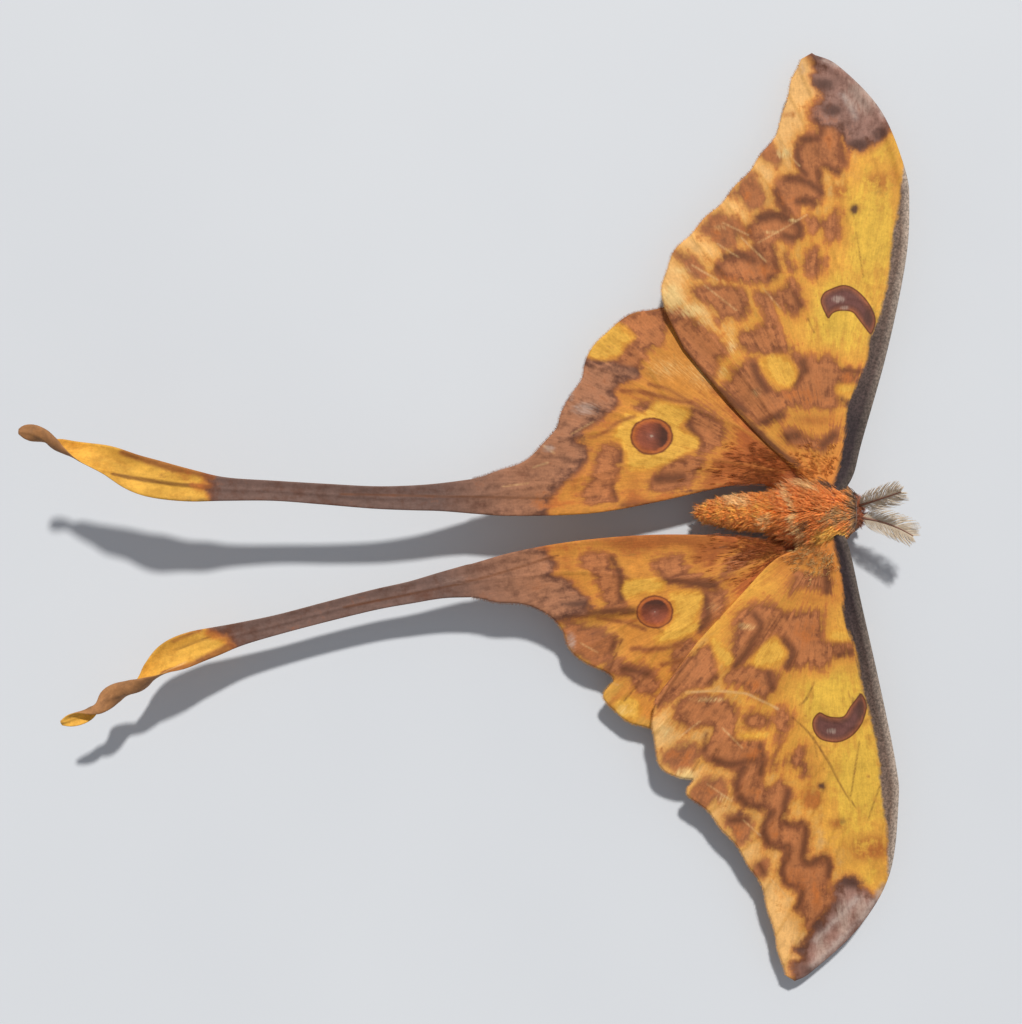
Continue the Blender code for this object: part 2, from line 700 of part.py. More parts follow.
def make_leg(name, stations, sign, material):
    """Thigh, shin and a jointed foot that lies on the floor with a flat sole."""
    root, knee, shin_end, foot_end = (Vector((p[0], sign * p[1], p[2])) for p in stations)
    path, radii = [], []

    def run(a, b, shares, sizes):
        for share, size in zip(shares, sizes):
            path.append(a.lerp(b, share))
            radii.append(size)

    run(root, knee, (0.0, 0.3, 0.7, 0.97), (0.5, THIGH_RADIUS, THIGH_RADIUS * 0.95, 0.5))
    run(knee, shin_end, (0.08, 0.4, 0.8, 1.0), (0.48, SHIN_RADIUS, SHIN_RADIUS, 0.42))
    for joint in range(FOOT_JOINTS):
        ground = foot_end.z
        for share, size in ((0.15, 0.86), (0.8, 1.0)):
            along = (joint + share) / FOOT_JOINTS
            spot = shin_end.lerp(foot_end, along)
            spot.z = max(ground, shin_end.z + (ground - shin_end.z) * min(1.0, along * 2.2))
            path.append(spot)
            radii.append(FOOT_RADIUS * size)
    claw = foot_end + (foot_end - shin_end).normalized() * 0.5
    claw.z = foot_end.z * 0.7
    path.append(claw)
    radii.append(FOOT_RADIUS * 0.6)
    return make_tube(name, path, radii, LEG_SIDES, material, flat_floor=True)


def make_head(material, eye_material):
    """The head with its two palps, hollowed a little where the eyes sit."""
    head = make_ball("head", HEAD_CENTRE, HEAD_RADII, material)
    palps = []
    for sign in (1, -1):
        root = Vector((PALP_ROOT[0], sign * PALP_ROOT[1], PALP_ROOT[2]))
        tip = Vector((PALP_TIP[0], sign * PALP_TIP[1], PALP_TIP[2]))
        path = (root - (tip - root) * 0.4, root, root.lerp(tip, 0.7), tip)
        sizes = (PALP_RADIUS * 0.8, PALP_RADIUS, PALP_RADIUS * 0.8, PALP_RADIUS * 0.45)
        palps.append(make_tube(f"palp_{sign}", path, sizes, 6))
    head = join_pieces("head", [head, *palps], material)
    eyes = {}
    sockets = []
    for side, sign in (("left", 1), ("right", -1)):
        centre = (EYE_CENTRE[0], sign * EYE_CENTRE[1], EYE_CENTRE[2])
        radii = (EYE_RADIUS,) * 3
        eyes[side] = make_ball("eye_" + side, centre, radii, eye_material, segments=16, rings=10)
        socket = make_ball("socket_" + side, centre, radii, grow=GAP, segments=16, rings=10)
        sockets.append(hide_guide(socket))
    cut_clear(head, sockets)
    return head, eyes, sockets


def smooth_shade(obj):
    obj.data.shade_smooth()
    obj.data.set_sharp_from_angle(angle=math.radians(38))


def centre_on_floor(nodes):
    """Moves the model so that the origin is on the floor at the middle of its footprint."""
    corners = [v.co for obj in nodes for v in obj.data.vertices]
    middle_x = (min(c.x for c in corners) + max(c.x for c in corners)) / 2
    middle_y = (min(c.y for c in corners) + max(c.y for c in corners)) / 2
    for obj in nodes:
        for vertex in obj.data.vertices:
            vertex.co.x -= middle_x
            vertex.co.y -= middle_y


def main():
    clear_scene()
    wing_yellow = make_material("wing_scales_yellow", YELLOW, 0.75)
    wing_rust = make_material("wing_scales_rust", RUST, 0.75)
    tail_mauve = make_material("tail_scales_mauve", MAUVE, 0.75)
    feeler_straw = make_material("feeler_straw", STRAW, 0.6)
    body_pile = make_material("body_pile", PILE, 0.9)
    leg_pile = make_material("leg_pile", LEG_BROWN, 0.85)
    eye_gloss = make_material("eye_gloss", EYE_BLACK, 0.2)

    head, eyes, sockets = make_head(body_pile, eye_gloss)
    head_room = hide_guide(make_ball("head_room", HEAD_CENTRE, HEAD_RADII, grow=GAP))
    thorax = make_body("thorax", THORAX_RINGS, THORAX_SIDES, PILE_LUMP, body_pile)
    cut_clear(thorax, [head_room, *sockets])
    thorax_room = make_body("thorax_room", THORAX_RINGS, THORAX_SIDES, PILE_LUMP, grow=GAP)
    hide_guide(thorax_room)
    abdomen = make_abdomen(body_pile)
    nodes = [head, *eyes.values(), thorax, abdomen]

    for side, sign in (("left", 1), ("right", -1)):
        fore = FOREWINGS[side]
        forewing = make_wing("forewing_" + side, fore, forewing_veins(sign, fore), forewing_height,
                             FOREWING_SCALLOPS, sign, wing_yellow)
        hind = HINDWINGS[side]
        hindwing = make_wing("hindwing_" + side, hind, hindwing_veins(sign, hind),
                             lambda x, y, s=side: hindwing_height(s, x, y),
                             HINDWING_SCALLOPS, sign, wing_rust)
        for wing in (forewing, hindwing):
            cut_clear(wing, [thorax_room])
        tail = make_ribbon("tail_" + side, TAILS[side], tail_mauve)
        tail_end = make_ribbon("tail_end_" + side, TAIL_ENDS[side], wing_yellow)
        feeler = make_feeler(side, feeler_straw)
        cut_clear(feeler, [head_room, thorax_room])
        nodes += [forewing, hindwing, tail, tail_end, feeler]
        for place, stations in LEGS.items():
            leg = make_leg(f"leg_{place}_{side}", stations, sign, leg_pile)
            cut_clear(leg, [thorax_room])
            nodes.append(leg)

    centre_on_floor(nodes)
    for obj in nodes:
        smooth_shade(obj)


main()
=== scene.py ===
# A male long-tailed moon moth, life size, standing at rest with its wings spread flat. Lengths are
# in millimetres in the moth's own frame: origin on the floor under the middle of the thorax, head
# towards +X, the moth's left side towards +Y. Each mesh is moved to the model's frame as it is made.

import math

import bpy
import numpy as np
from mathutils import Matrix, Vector
from mathutils.geometry import delaunay_2d_cdt


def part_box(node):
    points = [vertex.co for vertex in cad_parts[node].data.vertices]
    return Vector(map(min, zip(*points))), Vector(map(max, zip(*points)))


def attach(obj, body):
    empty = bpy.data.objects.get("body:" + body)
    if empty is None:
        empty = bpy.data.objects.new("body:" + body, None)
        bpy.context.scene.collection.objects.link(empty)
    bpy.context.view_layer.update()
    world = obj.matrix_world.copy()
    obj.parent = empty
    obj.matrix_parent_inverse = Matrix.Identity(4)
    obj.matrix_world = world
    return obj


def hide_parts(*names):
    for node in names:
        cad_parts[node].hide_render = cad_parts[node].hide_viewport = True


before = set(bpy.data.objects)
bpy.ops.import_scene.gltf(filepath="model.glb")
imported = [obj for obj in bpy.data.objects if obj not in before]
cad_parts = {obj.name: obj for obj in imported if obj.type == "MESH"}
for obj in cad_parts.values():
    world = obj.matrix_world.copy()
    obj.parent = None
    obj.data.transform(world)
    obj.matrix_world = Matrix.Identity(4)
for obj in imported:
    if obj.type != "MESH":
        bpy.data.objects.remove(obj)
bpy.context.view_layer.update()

# The floor, the light and the camera. The moth is looked at from straight above. The light is a
# low sun from its left side, with a pale sky, and the floor is smooth, pale grey card.
MM = 0.001
THORAX_BACK = -4.6
thorax_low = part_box("thorax")[0]
left_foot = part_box("leg_front_left")[1]
right_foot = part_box("leg_front_right")[0]
SHIFT = np.array((THORAX_BACK * MM - thorax_low.x, -(left_foot.y + right_foot.y) / 2, 0.0))

CAMERA_SPOT = (-39.0, 0.0, 170.0)
CAMERA_LENS = 45.97
SUN_AWAY = (0.09, 0.82, 1.0)
SUN_STRENGTH = 2.8
SUN_SPREAD = 4.0
SKY_STRENGTH = 0.28
CARD_TONES = ("#E2E7F0", "#D9DEE8")
CARD_MOTTLE = 55.6
FLOOR_HALF = 0.9


def to_row(points):
    """Points in the moth's frame, in millimetres, as points in the model's frame, in metres."""
    return np.asarray(points, float) * MM - SHIFT


def linear(shade):
    """An sRGB hex colour in the linear values that the shaders use."""
    parts = [int(shade[i:i + 2], 16) / 255 for i in (1, 3, 5)]
    turned = [p / 12.92 if p <= 0.04045 else ((p + 0.055) / 1.055) ** 2.4 for p in parts]
    return (*turned, 1.0)


def node(tree, kind, inputs=None, **settings):
    """Adds a node with its settings. An input is a value or another node's output."""
    made = tree.nodes.new(kind)
    for key, value in settings.items():
        setattr(made, key, value)
    for key, value in (inputs or {}).items():
        if isinstance(value, bpy.types.NodeSocket):
            tree.links.new(value, made.inputs[key])
        else:
            made.inputs[key].default_value = value
    return made


def new_material(name, **surface):
    """A material with one Principled shader, whose even values are set on its own sockets."""
    made = bpy.data.materials.new(name)
    made.use_nodes = True
    shader = made.node_tree.nodes["Principled BSDF"]
    for key, value in surface.items():
        shader.inputs[key.replace("_", " ").title().replace("Ior", "IOR")].default_value = value
    return made, made.node_tree, shader


# Smooth card, uncoated, so that it is matt and even, with the faintest cloudiness.
card, tree, shader = new_material("matt_grey_card", roughness=0.6, ior=1.45)
place = node(tree, "ShaderNodeTexCoord").outputs["Object"]
grain = node(tree, "ShaderNodeTexNoise", {"Vector": place, "Scale": 1 / (CARD_MOTTLE * MM),
                                          "Detail": 3.0})
tone = node(tree, "ShaderNodeMix", {0: grain.outputs["Fac"], 6: linear(CARD_TONES[0]),
                                    7: linear(CARD_TONES[1])}, data_type="RGBA")
tree.links.new(tone.outputs[2], shader.inputs["Base Color"])

mesh = bpy.data.meshes.new("floor")
corners = [(x * FLOOR_HALF, y * FLOOR_HALF, 0.0) for x, y in ((-1, -1), (1, -1), (1, 1), (-1, 1))]
mesh.from_pydata(corners, [], [(0, 1, 2, 3)])
mesh.materials.append(card)
floor = bpy.data.objects.new("floor", mesh)
bpy.context.scene.collection.objects.link(floor)

sun = bpy.data.objects.new("sun", bpy.data.lights.new("sun", "SUN"))
sun.data.energy = SUN_STRENGTH
sun.data.angle = math.radians(SUN_SPREAD)
sun.data.color = linear("#FFFBF2")[:3]
sun.rotation_euler = Vector(SUN_AWAY).to_track_quat("Z", "Y").to_euler()
bpy.context.scene.collection.objects.link(sun)

sky = bpy.data.worlds.new("pale_sky")
sky.use_nodes = True
sky.node_tree.nodes["Background"].inputs["Color"].default_value = linear("#FCFDFF")
sky.node_tree.nodes["Background"].inputs["Strength"].default_value = SKY_STRENGTH
bpy.context.scene.world = sky
bpy.context.scene.view_settings.view_transform = "Standard"

camera = bpy.data.objects.new("camera", bpy.data.cameras.new("camera"))
camera.location = to_row(CAMERA_SPOT)
camera.data.lens = CAMERA_LENS
camera.data.clip_start = 0.01
bpy.context.scene.collection.objects.link(camera)
bpy.context.scene.camera = camera

# The forewings. A real one is a dry membrane a few hundredths of a millimetre thick, stiffened by
# hollow veins and a thick leading edge, and covered by overlapping scales on both faces. Here the
# membrane is 0.18 mm thick, the least that still prints and bakes.
WING_STEP = 0.25
MEMBRANE = 0.18
FOREWING_ROOT_HEIGHT = 6.5
FOREWING_DROOP = 0.034
FOREWING_CURVE = 0.0005
REST_DROP = 0.75
MEMBRANE_SAG = 0.16
VEIN_RIDGE = 0.10
VEIN_HALF = 0.2
LEADING_ROD = 0.34
ROD_PLACE = 0.75
ROD_HALF = 0.55
ROOT_SWELL = 0.4
ROOT_REACH = 3.0
SCALLOP = 0.28
FOREWING_SCALLOPS = 7
FAR = 2.5

FOREWINGS = {
    "left": {
        "leading": ((1.6, 1.5), (3.7, 4.4), (5.0, 9.0), (8.3, 20.3), (10.8, 31.6), (11.4, 38.6),
                    (11.0, 43.4), (8.1, 51.1), (2.9, 56.9), (-0.6, 58.6)),
        "outer": ((-1.9, 57.9), (-3.5, 53.5), (-5.2, 48.0), (-10.7, 40.8), (-17.3, 33.9),
                  (-19.2, 30.8), (-19.8, 27.6), (-19.5, 25.2)),
        "inner": ((-17.2, 20.6), (-13.9, 16.6), (-10.5, 12.6), (-6.7, 8.5), (-3.1, 5.4),
                  (-1.6, 3.6), (-1.0, 1.5)),
    },
    "right": {
        "leading": ((1.6, -1.5), (3.2, -4.2), (5.0, -11.8), (7.5, -22.3), (9.6, -32.0),
                    (10.0, -36.7), (9.1, -45.9), (5.3, -53.0), (-0.5, -58.7), (-2.7, -60.0)),
        "outer": ((-3.8, -59.3), (-5.2, -54.0), (-7.4, -46.8), (-12.6, -39.4), (-15.9, -36.2),
                  (-16.6, -35.3), (-15.8, -33.8), (-17.6, -33.5), (-20.2, -31.6), (-20.9, -27.5),
                  (-20.9, -23.6)),
        "inner": ((-15.5, -16.4), (-10.2, -10.6), (-5.9, -6.0), (-2.6, -4.3), (-1.0, -1.5)),
    },
}
FOREWING_CELL = {
    "front": (6.8, 25.5), "end": (3.4, 27.0), "back": (-0.6, 23.5), "fork": (-2.2, 16.5),
}
FOREWING_RADIUS = ((6.8, 25.5), (8.4, 36.0), (6.8, 46.0), (3.2, 54.0))
FOREWING_VEINS = (
    ("front", 0.03), ("front", 0.13), ("end", 0.27), ("end", 0.41), ("back", 0.56), ("fork", 0.72),
)

# The forewings' markings, each an outline that is closed and rounded
FORE_PATCHES = {
    "left": {
        "brown": (
            # the zigzag band, down its outer side and back up its inner side
            ((-0.5, 51.4), (-0.8, 50.0), (-0.4, 48.6), (-1.4, 48.0), (-2.4, 47.3), (-2.9, 46.2),
             (-3.0, 44.8), (-2.6, 43.4), (-2.4, 42.9), (-3.8, 42.9), (-4.9, 42.3), (-5.4, 41.2),
             (-5.8, 40.4), (-5.5, 39.2), (-5.0, 38.1), (-6.2, 38.0), (-7.6, 37.6), (-8.6, 36.6),
             (-9.4, 35.4), (-9.2, 34.6), (-8.5, 33.9), (-8.8, 33.1), (-10.4, 32.9), (-12.2, 32.1),
             (-13.6, 30.7), (-13.2, 29.7), (-11.2, 29.1), (-8.8, 28.8), (-6.4, 28.9), (-5.4, 29.8),
             (-5.0, 31.0), (-5.5, 32.4), (-5.8, 33.8), (-5.0, 34.4), (-3.4, 33.9), (-2.6, 34.4),
             (-2.1, 35.7), (-2.6, 36.7), (-3.3, 37.0), (-2.8, 38.0), (-2.3, 39.1), (-1.4, 38.9),
             (-0.6, 38.5), (0.1, 39.3), (0.7, 40.3), (0.2, 41.6), (0.0, 43.2), (0.6, 43.7),
             (1.6, 43.4), (2.4, 42.7), (2.9, 43.2), (3.6, 44.0), (3.4, 45.8), (3.2, 47.2),
             (3.4, 48.6), (2.2, 50.4), (0.8, 51.6)),
            # its foot, and the patches between it and the base
            ((-16.4, 28.2), (-14.4, 28.7), (-11.6, 28.6), (-9.3, 27.8), (-9.0, 26.3), (-9.1, 25.1),
             (-10.0, 24.2), (-11.4, 24.5), (-13.0, 23.8), (-13.0, 25.1), (-14.4, 26.4), (-15.9, 26.7)),
            ((-9.8, 22.9), (-7.9, 23.2), (-7.2, 24.8), (-8.1, 26.4), (-8.3, 27.6), (-7.2, 27.9),
             (-6.2, 26.6), (-5.6, 24.8), (-5.1, 23.1), (-4.1, 21.4), (-3.4, 20.4), (-4.9, 19.9),
             (-6.9, 19.6), (-8.1, 19.8), (-10.2, 20.6), (-10.4, 22.1)),
            ((-3.6, 29.5), (-2.8, 28.9), (-2.3, 27.3), (-2.2, 25.9), (-2.8, 24.9), (-4.1, 24.9),
             (-5.1, 25.9), (-6.5, 26.7), (-7.4, 27.8), (-6.0, 27.6), (-4.7, 28.3)),
            ((-3.6, 20.2), (-2.6, 19.8), (-0.8, 19.2), (0.4, 19.7), (1.9, 19.0), (2.5, 18.2),
             (3.5, 17.7), (5.1, 18.0), (4.9, 17.0), (4.3, 16.2), (2.2, 16.0), (1.8, 14.9),
             (2.2, 13.9), (1.6, 12.8), (0.0, 12.9), (-2.0, 13.1), (-4.3, 12.9), (-5.1, 11.9),
             (-6.1, 11.5), (-7.1, 10.6), (-8.2, 11.1), (-10.2, 12.9), (-12.2, 15.1), (-12.6, 15.9),
             (-11.4, 16.8), (-11.0, 18.0), (-9.8, 18.8), (-8.5, 19.4), (-7.9, 18.4), (-7.1, 16.8),
             (-5.7, 15.5), (-3.9, 15.5), (-3.4, 16.6), (-2.8, 17.4), (-3.2, 18.4), (-4.0, 19.4)),
            ((-20.2, 25.2), (-19.2, 25.7), (-17.1, 25.1), (-15.2, 23.7), (-13.6, 22.3), (-12.2, 20.8),
             (-11.8, 20.0), (-13.0, 19.0), (-13.2, 18.2), (-13.6, 16.6), (-17.5, 21.0), (-19.6, 24.0)),
            # the row of inner spots
            ((-1.9, 37.1), (-0.6, 37.3), (1.2, 37.1), (2.1, 38.4), (2.3, 37.2), (2.7, 35.6),
             (2.2, 34.5), (1.4, 34.1), (0.8, 34.9), (0.3, 35.8), (-0.9, 35.0), (-1.3, 36.0)),
            ((-4.9, 32.8), (-4.4, 31.2), (-3.4, 30.2), (-2.8, 30.6), (-3.6, 31.4), (-4.3, 33.0)),
            ((-2.1, 31.8), (-0.9, 33.4), (-0.2, 33.3), (0.1, 32.4), (0.5, 31.6), (0.1, 30.4),
             (-0.6, 29.7), (-1.6, 29.9), (-2.2, 31.0)),
            ((-4.7, 10.0), (-3.7, 10.6), (-2.3, 9.7), (-0.1, 9.3), (1.1, 10.1), (2.2, 10.6),
             (1.7, 9.0), (0.5, 7.4), (-0.9, 7.6), (-2.9, 8.4), (-4.5, 8.8)),
        ),
        "blush": (
            # patches on the outer margin, greyer than the band
            ((-6.4, 46.8), (-7.4, 45.4), (-6.9, 44.8), (-5.9, 44.5), (-5.0, 44.1), (-4.7, 44.8),
             (-5.2, 45.6), (-5.6, 46.2)),
            ((-8.6, 42.9), (-10.0, 41.8), (-11.2, 40.3), (-10.4, 39.9), (-9.5, 39.2), (-9.2, 38.5),
             (-8.0, 38.3), (-6.9, 39.2), (-6.7, 40.1), (-7.3, 41.0), (-8.0, 41.9)),
            ((-12.9, 38.1), (-14.5, 36.8), (-15.2, 35.6), (-13.9, 34.8), (-13.0, 34.0), (-12.2, 33.3),
             (-11.3, 33.3), (-10.6, 34.2), (-10.0, 35.0), (-10.0, 36.0), (-10.8, 36.9), (-11.8, 37.4)),
            ((-18.5, 32.9), (-16.5, 32.3), (-15.1, 31.4), (-14.5, 29.7), (-15.7, 29.4), (-17.2, 31.2)),
        ),
        "mauve": (
            ((-1.6, 60.0), (-0.1, 56.4), (-0.7, 55.7), (-0.1, 54.3), (0.9, 52.9), (0.3, 52.1),
             (-0.5, 51.2), (-0.4, 49.6), (0.8, 49.0), (2.2, 48.8), (3.3, 47.2), (4.2, 46.3),
             (5.4, 46.0), (6.7, 46.5), (8.2, 47.4), (9.1, 48.6), (11.5, 50.0), (8.0, 55.5), (3.5, 60.0)),
        ),
        "yellow": (
            ((-7.7, 19.2), (-5.7, 19.8), (-4.1, 19.2), (-3.3, 18.2), (-3.1, 17.0), (-3.9, 15.7),
             (-4.9, 15.7), (-6.1, 16.4), (-7.1, 17.4)),
            ((2.0, 16.0), (4.6, 15.9), (4.1, 14.8), (2.0, 14.9)),
        ),
        "costa": (
            ((1.0, 2.2), (1.6, 4.6), (2.4, 7.6), (2.9, 10.7), (3.1, 12.8), (3.5, 14.1), (4.4, 16.2),
             (5.5, 18.7), (6.0, 21.7), (6.6, 23.0), (7.5, 24.8), (8.1, 27.6), (8.6, 30.1), (9.2, 35.0),
             (10.1, 39.5), (10.6, 43.5), (11.6, 45.5), (13.5, 40.0), (13.0, 30.0), (10.2, 18.0),
             (7.0, 8.0), (4.0, 2.0)),
        ),
        "moon": (
            ((0.9, 24.3), (0.2, 25.7), (0.0, 26.7), (0.4, 27.6), (1.0, 28.0), (2.7, 28.6), (4.1, 28.3),
             (5.5, 27.1), (6.5, 25.5), (6.9, 23.9), (6.3, 22.3), (5.7, 22.9), (4.7, 24.3), (3.9, 25.2),
             (2.3, 25.3), (1.4, 24.9)),
        ),
    },
    "right": {
        "brown": (
            ((-18.6, -24.6), (-18.2, -26.6), (-16.2, -27.4), (-14.4, -27.2), (-13.8, -28.2),
             (-14.9, -29.6), (-15.2, -30.8), (-14.6, -31.3), (-13.6, -31.8), (-12.6, -32.3),
             (-11.2, -32.6), (-10.4, -33.0), (-10.8, -34.0), (-11.0, -35.2), (-10.6, -36.2),
             (-9.6, -37.0), (-8.6, -37.7), (-7.4, -37.9), (-6.7, -38.4), (-7.2, -39.6), (-7.4, -40.6),
             (-6.9, -41.8), (-6.2, -42.8), (-5.0, -43.1), (-4.4, -43.6), (-4.9, -44.6), (-5.0, -46.0),
             (-4.4, -47.2), (-3.7, -48.1), (-2.6, -48.6), (-2.5, -49.6), (-2.9, -50.4), (-2.2, -51.6),
             (-1.5, -52.9), (-0.7, -53.2), (0.6, -51.6), (1.6, -50.4), (2.4, -49.0), (1.8, -48.2),
             (1.4, -47.4), (1.5, -46.0), (1.7, -45.0), (1.1, -44.2), (0.5, -43.5), (-0.2, -44.0),
             (-1.0, -44.6), (-1.7, -44.2), (-1.7, -43.0), (-1.4, -41.6), (-1.2, -40.4), (-1.9, -39.3),
             (-2.9, -39.1), (-3.6, -39.4), (-4.3, -38.8), (-4.2, -37.4), (-3.6, -36.2), (-3.5, -35.2),
             (-4.2, -34.2), (-5.2, -34.0), (-6.0, -34.6), (-7.0, -34.4), (-7.4, -33.2), (-7.2, -31.8),
             (-6.9, -30.4), (-7.2, -29.2), (-8.0, -28.7), (-9.6, -28.6), (-10.8, -28.4), (-10.6, -26.8),
             (-10.4, -25.2), (-11.0, -24.0), (-13.2, -23.1), (-16.0, -22.8), (-18.0, -23.3)),
            ((-5.4, -24.9), (-4.2, -25.0), (-3.5, -26.4), (-4.2, -27.8), (-4.9, -29.2), (-5.3, -31.0),
             (-5.5, -32.6), (-6.0, -32.9), (-6.2, -31.6), (-5.7, -30.0), (-5.5, -28.0), (-5.8, -26.4)),
            ((-9.8, -25.8), (-8.8, -25.2), (-6.4, -25.6), (-6.0, -26.4), (-6.4, -27.0), (-8.4, -27.4),
             (-9.6, -26.9)),
            ((-4.6, -32.0), (-4.2, -30.9), (-2.9, -30.0), (-2.0, -29.7), (-1.6, -30.4), (-1.9, -31.2),
             (-1.1, -32.0), (-1.3, -33.3), (-2.3, -33.6), (-2.6, -32.6), (-3.4, -32.2)),
            ((-8.0, -11.4), (-5.8, -11.6), (-4.6, -12.4), (-0.4, -12.2), (0.1, -13.0), (0.3, -15.0),
             (0.6, -16.2), (3.2, -16.3), (3.9, -17.2), (3.6, -18.1), (1.6, -18.3), (0.8, -19.3),
             (-0.6, -19.9), (-1.6, -19.4), (-3.6, -19.9), (-4.6, -19.0), (-4.3, -17.6), (-4.9, -16.4),
             (-5.9, -15.3), (-7.0, -16.4), (-8.4, -17.8), (-9.6, -19.1), (-11.2, -19.6), (-11.5, -18.0),
             (-11.3, -16.0), (-11.0, -14.0), (-10.2, -12.4)),
            ((-11.6, -19.8), (-9.0, -19.2), (-7.4, -19.6), (-6.2, -20.0), (-5.2, -20.2), (-5.6, -21.6),
             (-6.4, -23.2), (-7.0, -23.8), (-8.2, -23.2), (-10.0, -22.2), (-12.2, -21.2)),
            ((-15.0, -17.2), (-13.6, -17.0), (-13.4, -19.6), (-13.0, -20.6), (-13.8, -21.8),
             (-16.4, -22.3), (-18.8, -24.0), (-21.6, -24.6), (-21.0, -22.2), (-18.6, -19.4)),
            ((-4.2, -10.2), (-3.6, -8.0), (-2.4, -7.4), (-0.4, -7.8), (0.9, -7.0), (0.9, -10.0),
             (-0.6, -9.8), (-2.6, -9.4), (-3.6, -10.4)),
        ),
        "blush": (
            ((-19.9, -31.0), (-18.2, -29.7), (-16.4, -29.0), (-15.4, -29.6), (-15.2, -31.0),
             (-16.4, -31.9), (-18.6, -32.4)),
            ((-16.4, -35.8), (-14.8, -33.8), (-12.4, -33.6), (-11.8, -35.4), (-13.2, -36.6),
             (-14.9, -37.4)),
            ((-12.0, -38.7), (-10.4, -38.2), (-8.6, -38.5), (-8.3, -40.2), (-8.8, -41.6),
             (-10.0, -42.1), (-10.8, -41.0), (-11.6, -39.9)),
            ((-8.4, -46.0), (-7.9, -44.4), (-6.4, -44.3), (-6.6, -45.8), (-7.2, -46.4)),
        ),
        "mauve": (
            ((2.0, -47.6), (2.8, -46.8), (4.0, -46.4), (5.0, -46.9), (5.6, -47.8), (6.6, -48.4),
             (7.6, -49.4), (9.0, -50.8), (7.0, -54.5), (1.5, -60.0), (-2.0, -62.0), (-2.8, -59.6),
             (-3.1, -58.4), (-2.6, -57.6), (-1.8, -57.0), (-2.7, -55.9), (-2.0, -55.4), (-1.0, -54.3),
             (-0.2, -53.2), (0.4, -52.2), (0.8, -51.0), (2.0, -50.2), (2.2, -48.9)),
        ),
        "yellow": (
            ((-8.8, -18.6), (-7.4, -16.9), (-5.9, -15.8), (-4.9, -16.8), (-4.3, -17.6),
             (-4.9, -18.9), (-6.4, -19.5), (-8.2, -19.4)),
            ((-14.0, -15.6), (-12.6, -16.4), (-11.0, -18.3), (-11.9, -19.4), (-13.2, -18.2)),
            ((1.0, -15.0), (3.2, -14.9), (3.6, -16.1), (1.2, -16.2)),
            ((-10.2, -27.9), (-6.6, -27.8), (-7.2, -28.5), (-9.8, -28.6)),
        ),
        "costa": (
            ((1.2, -2.4), (1.6, -5.0), (2.3, -7.9), (2.7, -12.8), (3.2, -14.7), (4.1, -16.8),
             (4.5, -19.1), (5.0, -21.6), (5.6, -23.7), (6.5, -26.9), (7.2, -30.0), (7.9, -36.0),
             (8.5, -40.0), (8.7, -44.5), (9.2, -47.6), (11.5, -46.0), (12.0, -37.0),
             (11.6, -31.0), (9.5, -21.0), (7.0, -10.0), (4.6, -2.6)),
        ),
        "moon": (
            ((-0.2, -25.2), (-1.0, -26.2), (-0.9, -27.5), (-0.1, -28.6), (1.1, -29.0),
             (2.4, -29.0), (3.8, -28.4), (4.9, -27.2), (5.6, -25.6), (5.8, -24.2), (5.1, -22.8),
             (4.6, -23.3), (3.7, -24.5), (2.9, -25.7), (1.7, -25.8), (0.7, -25.6)),
        ),
    },
}

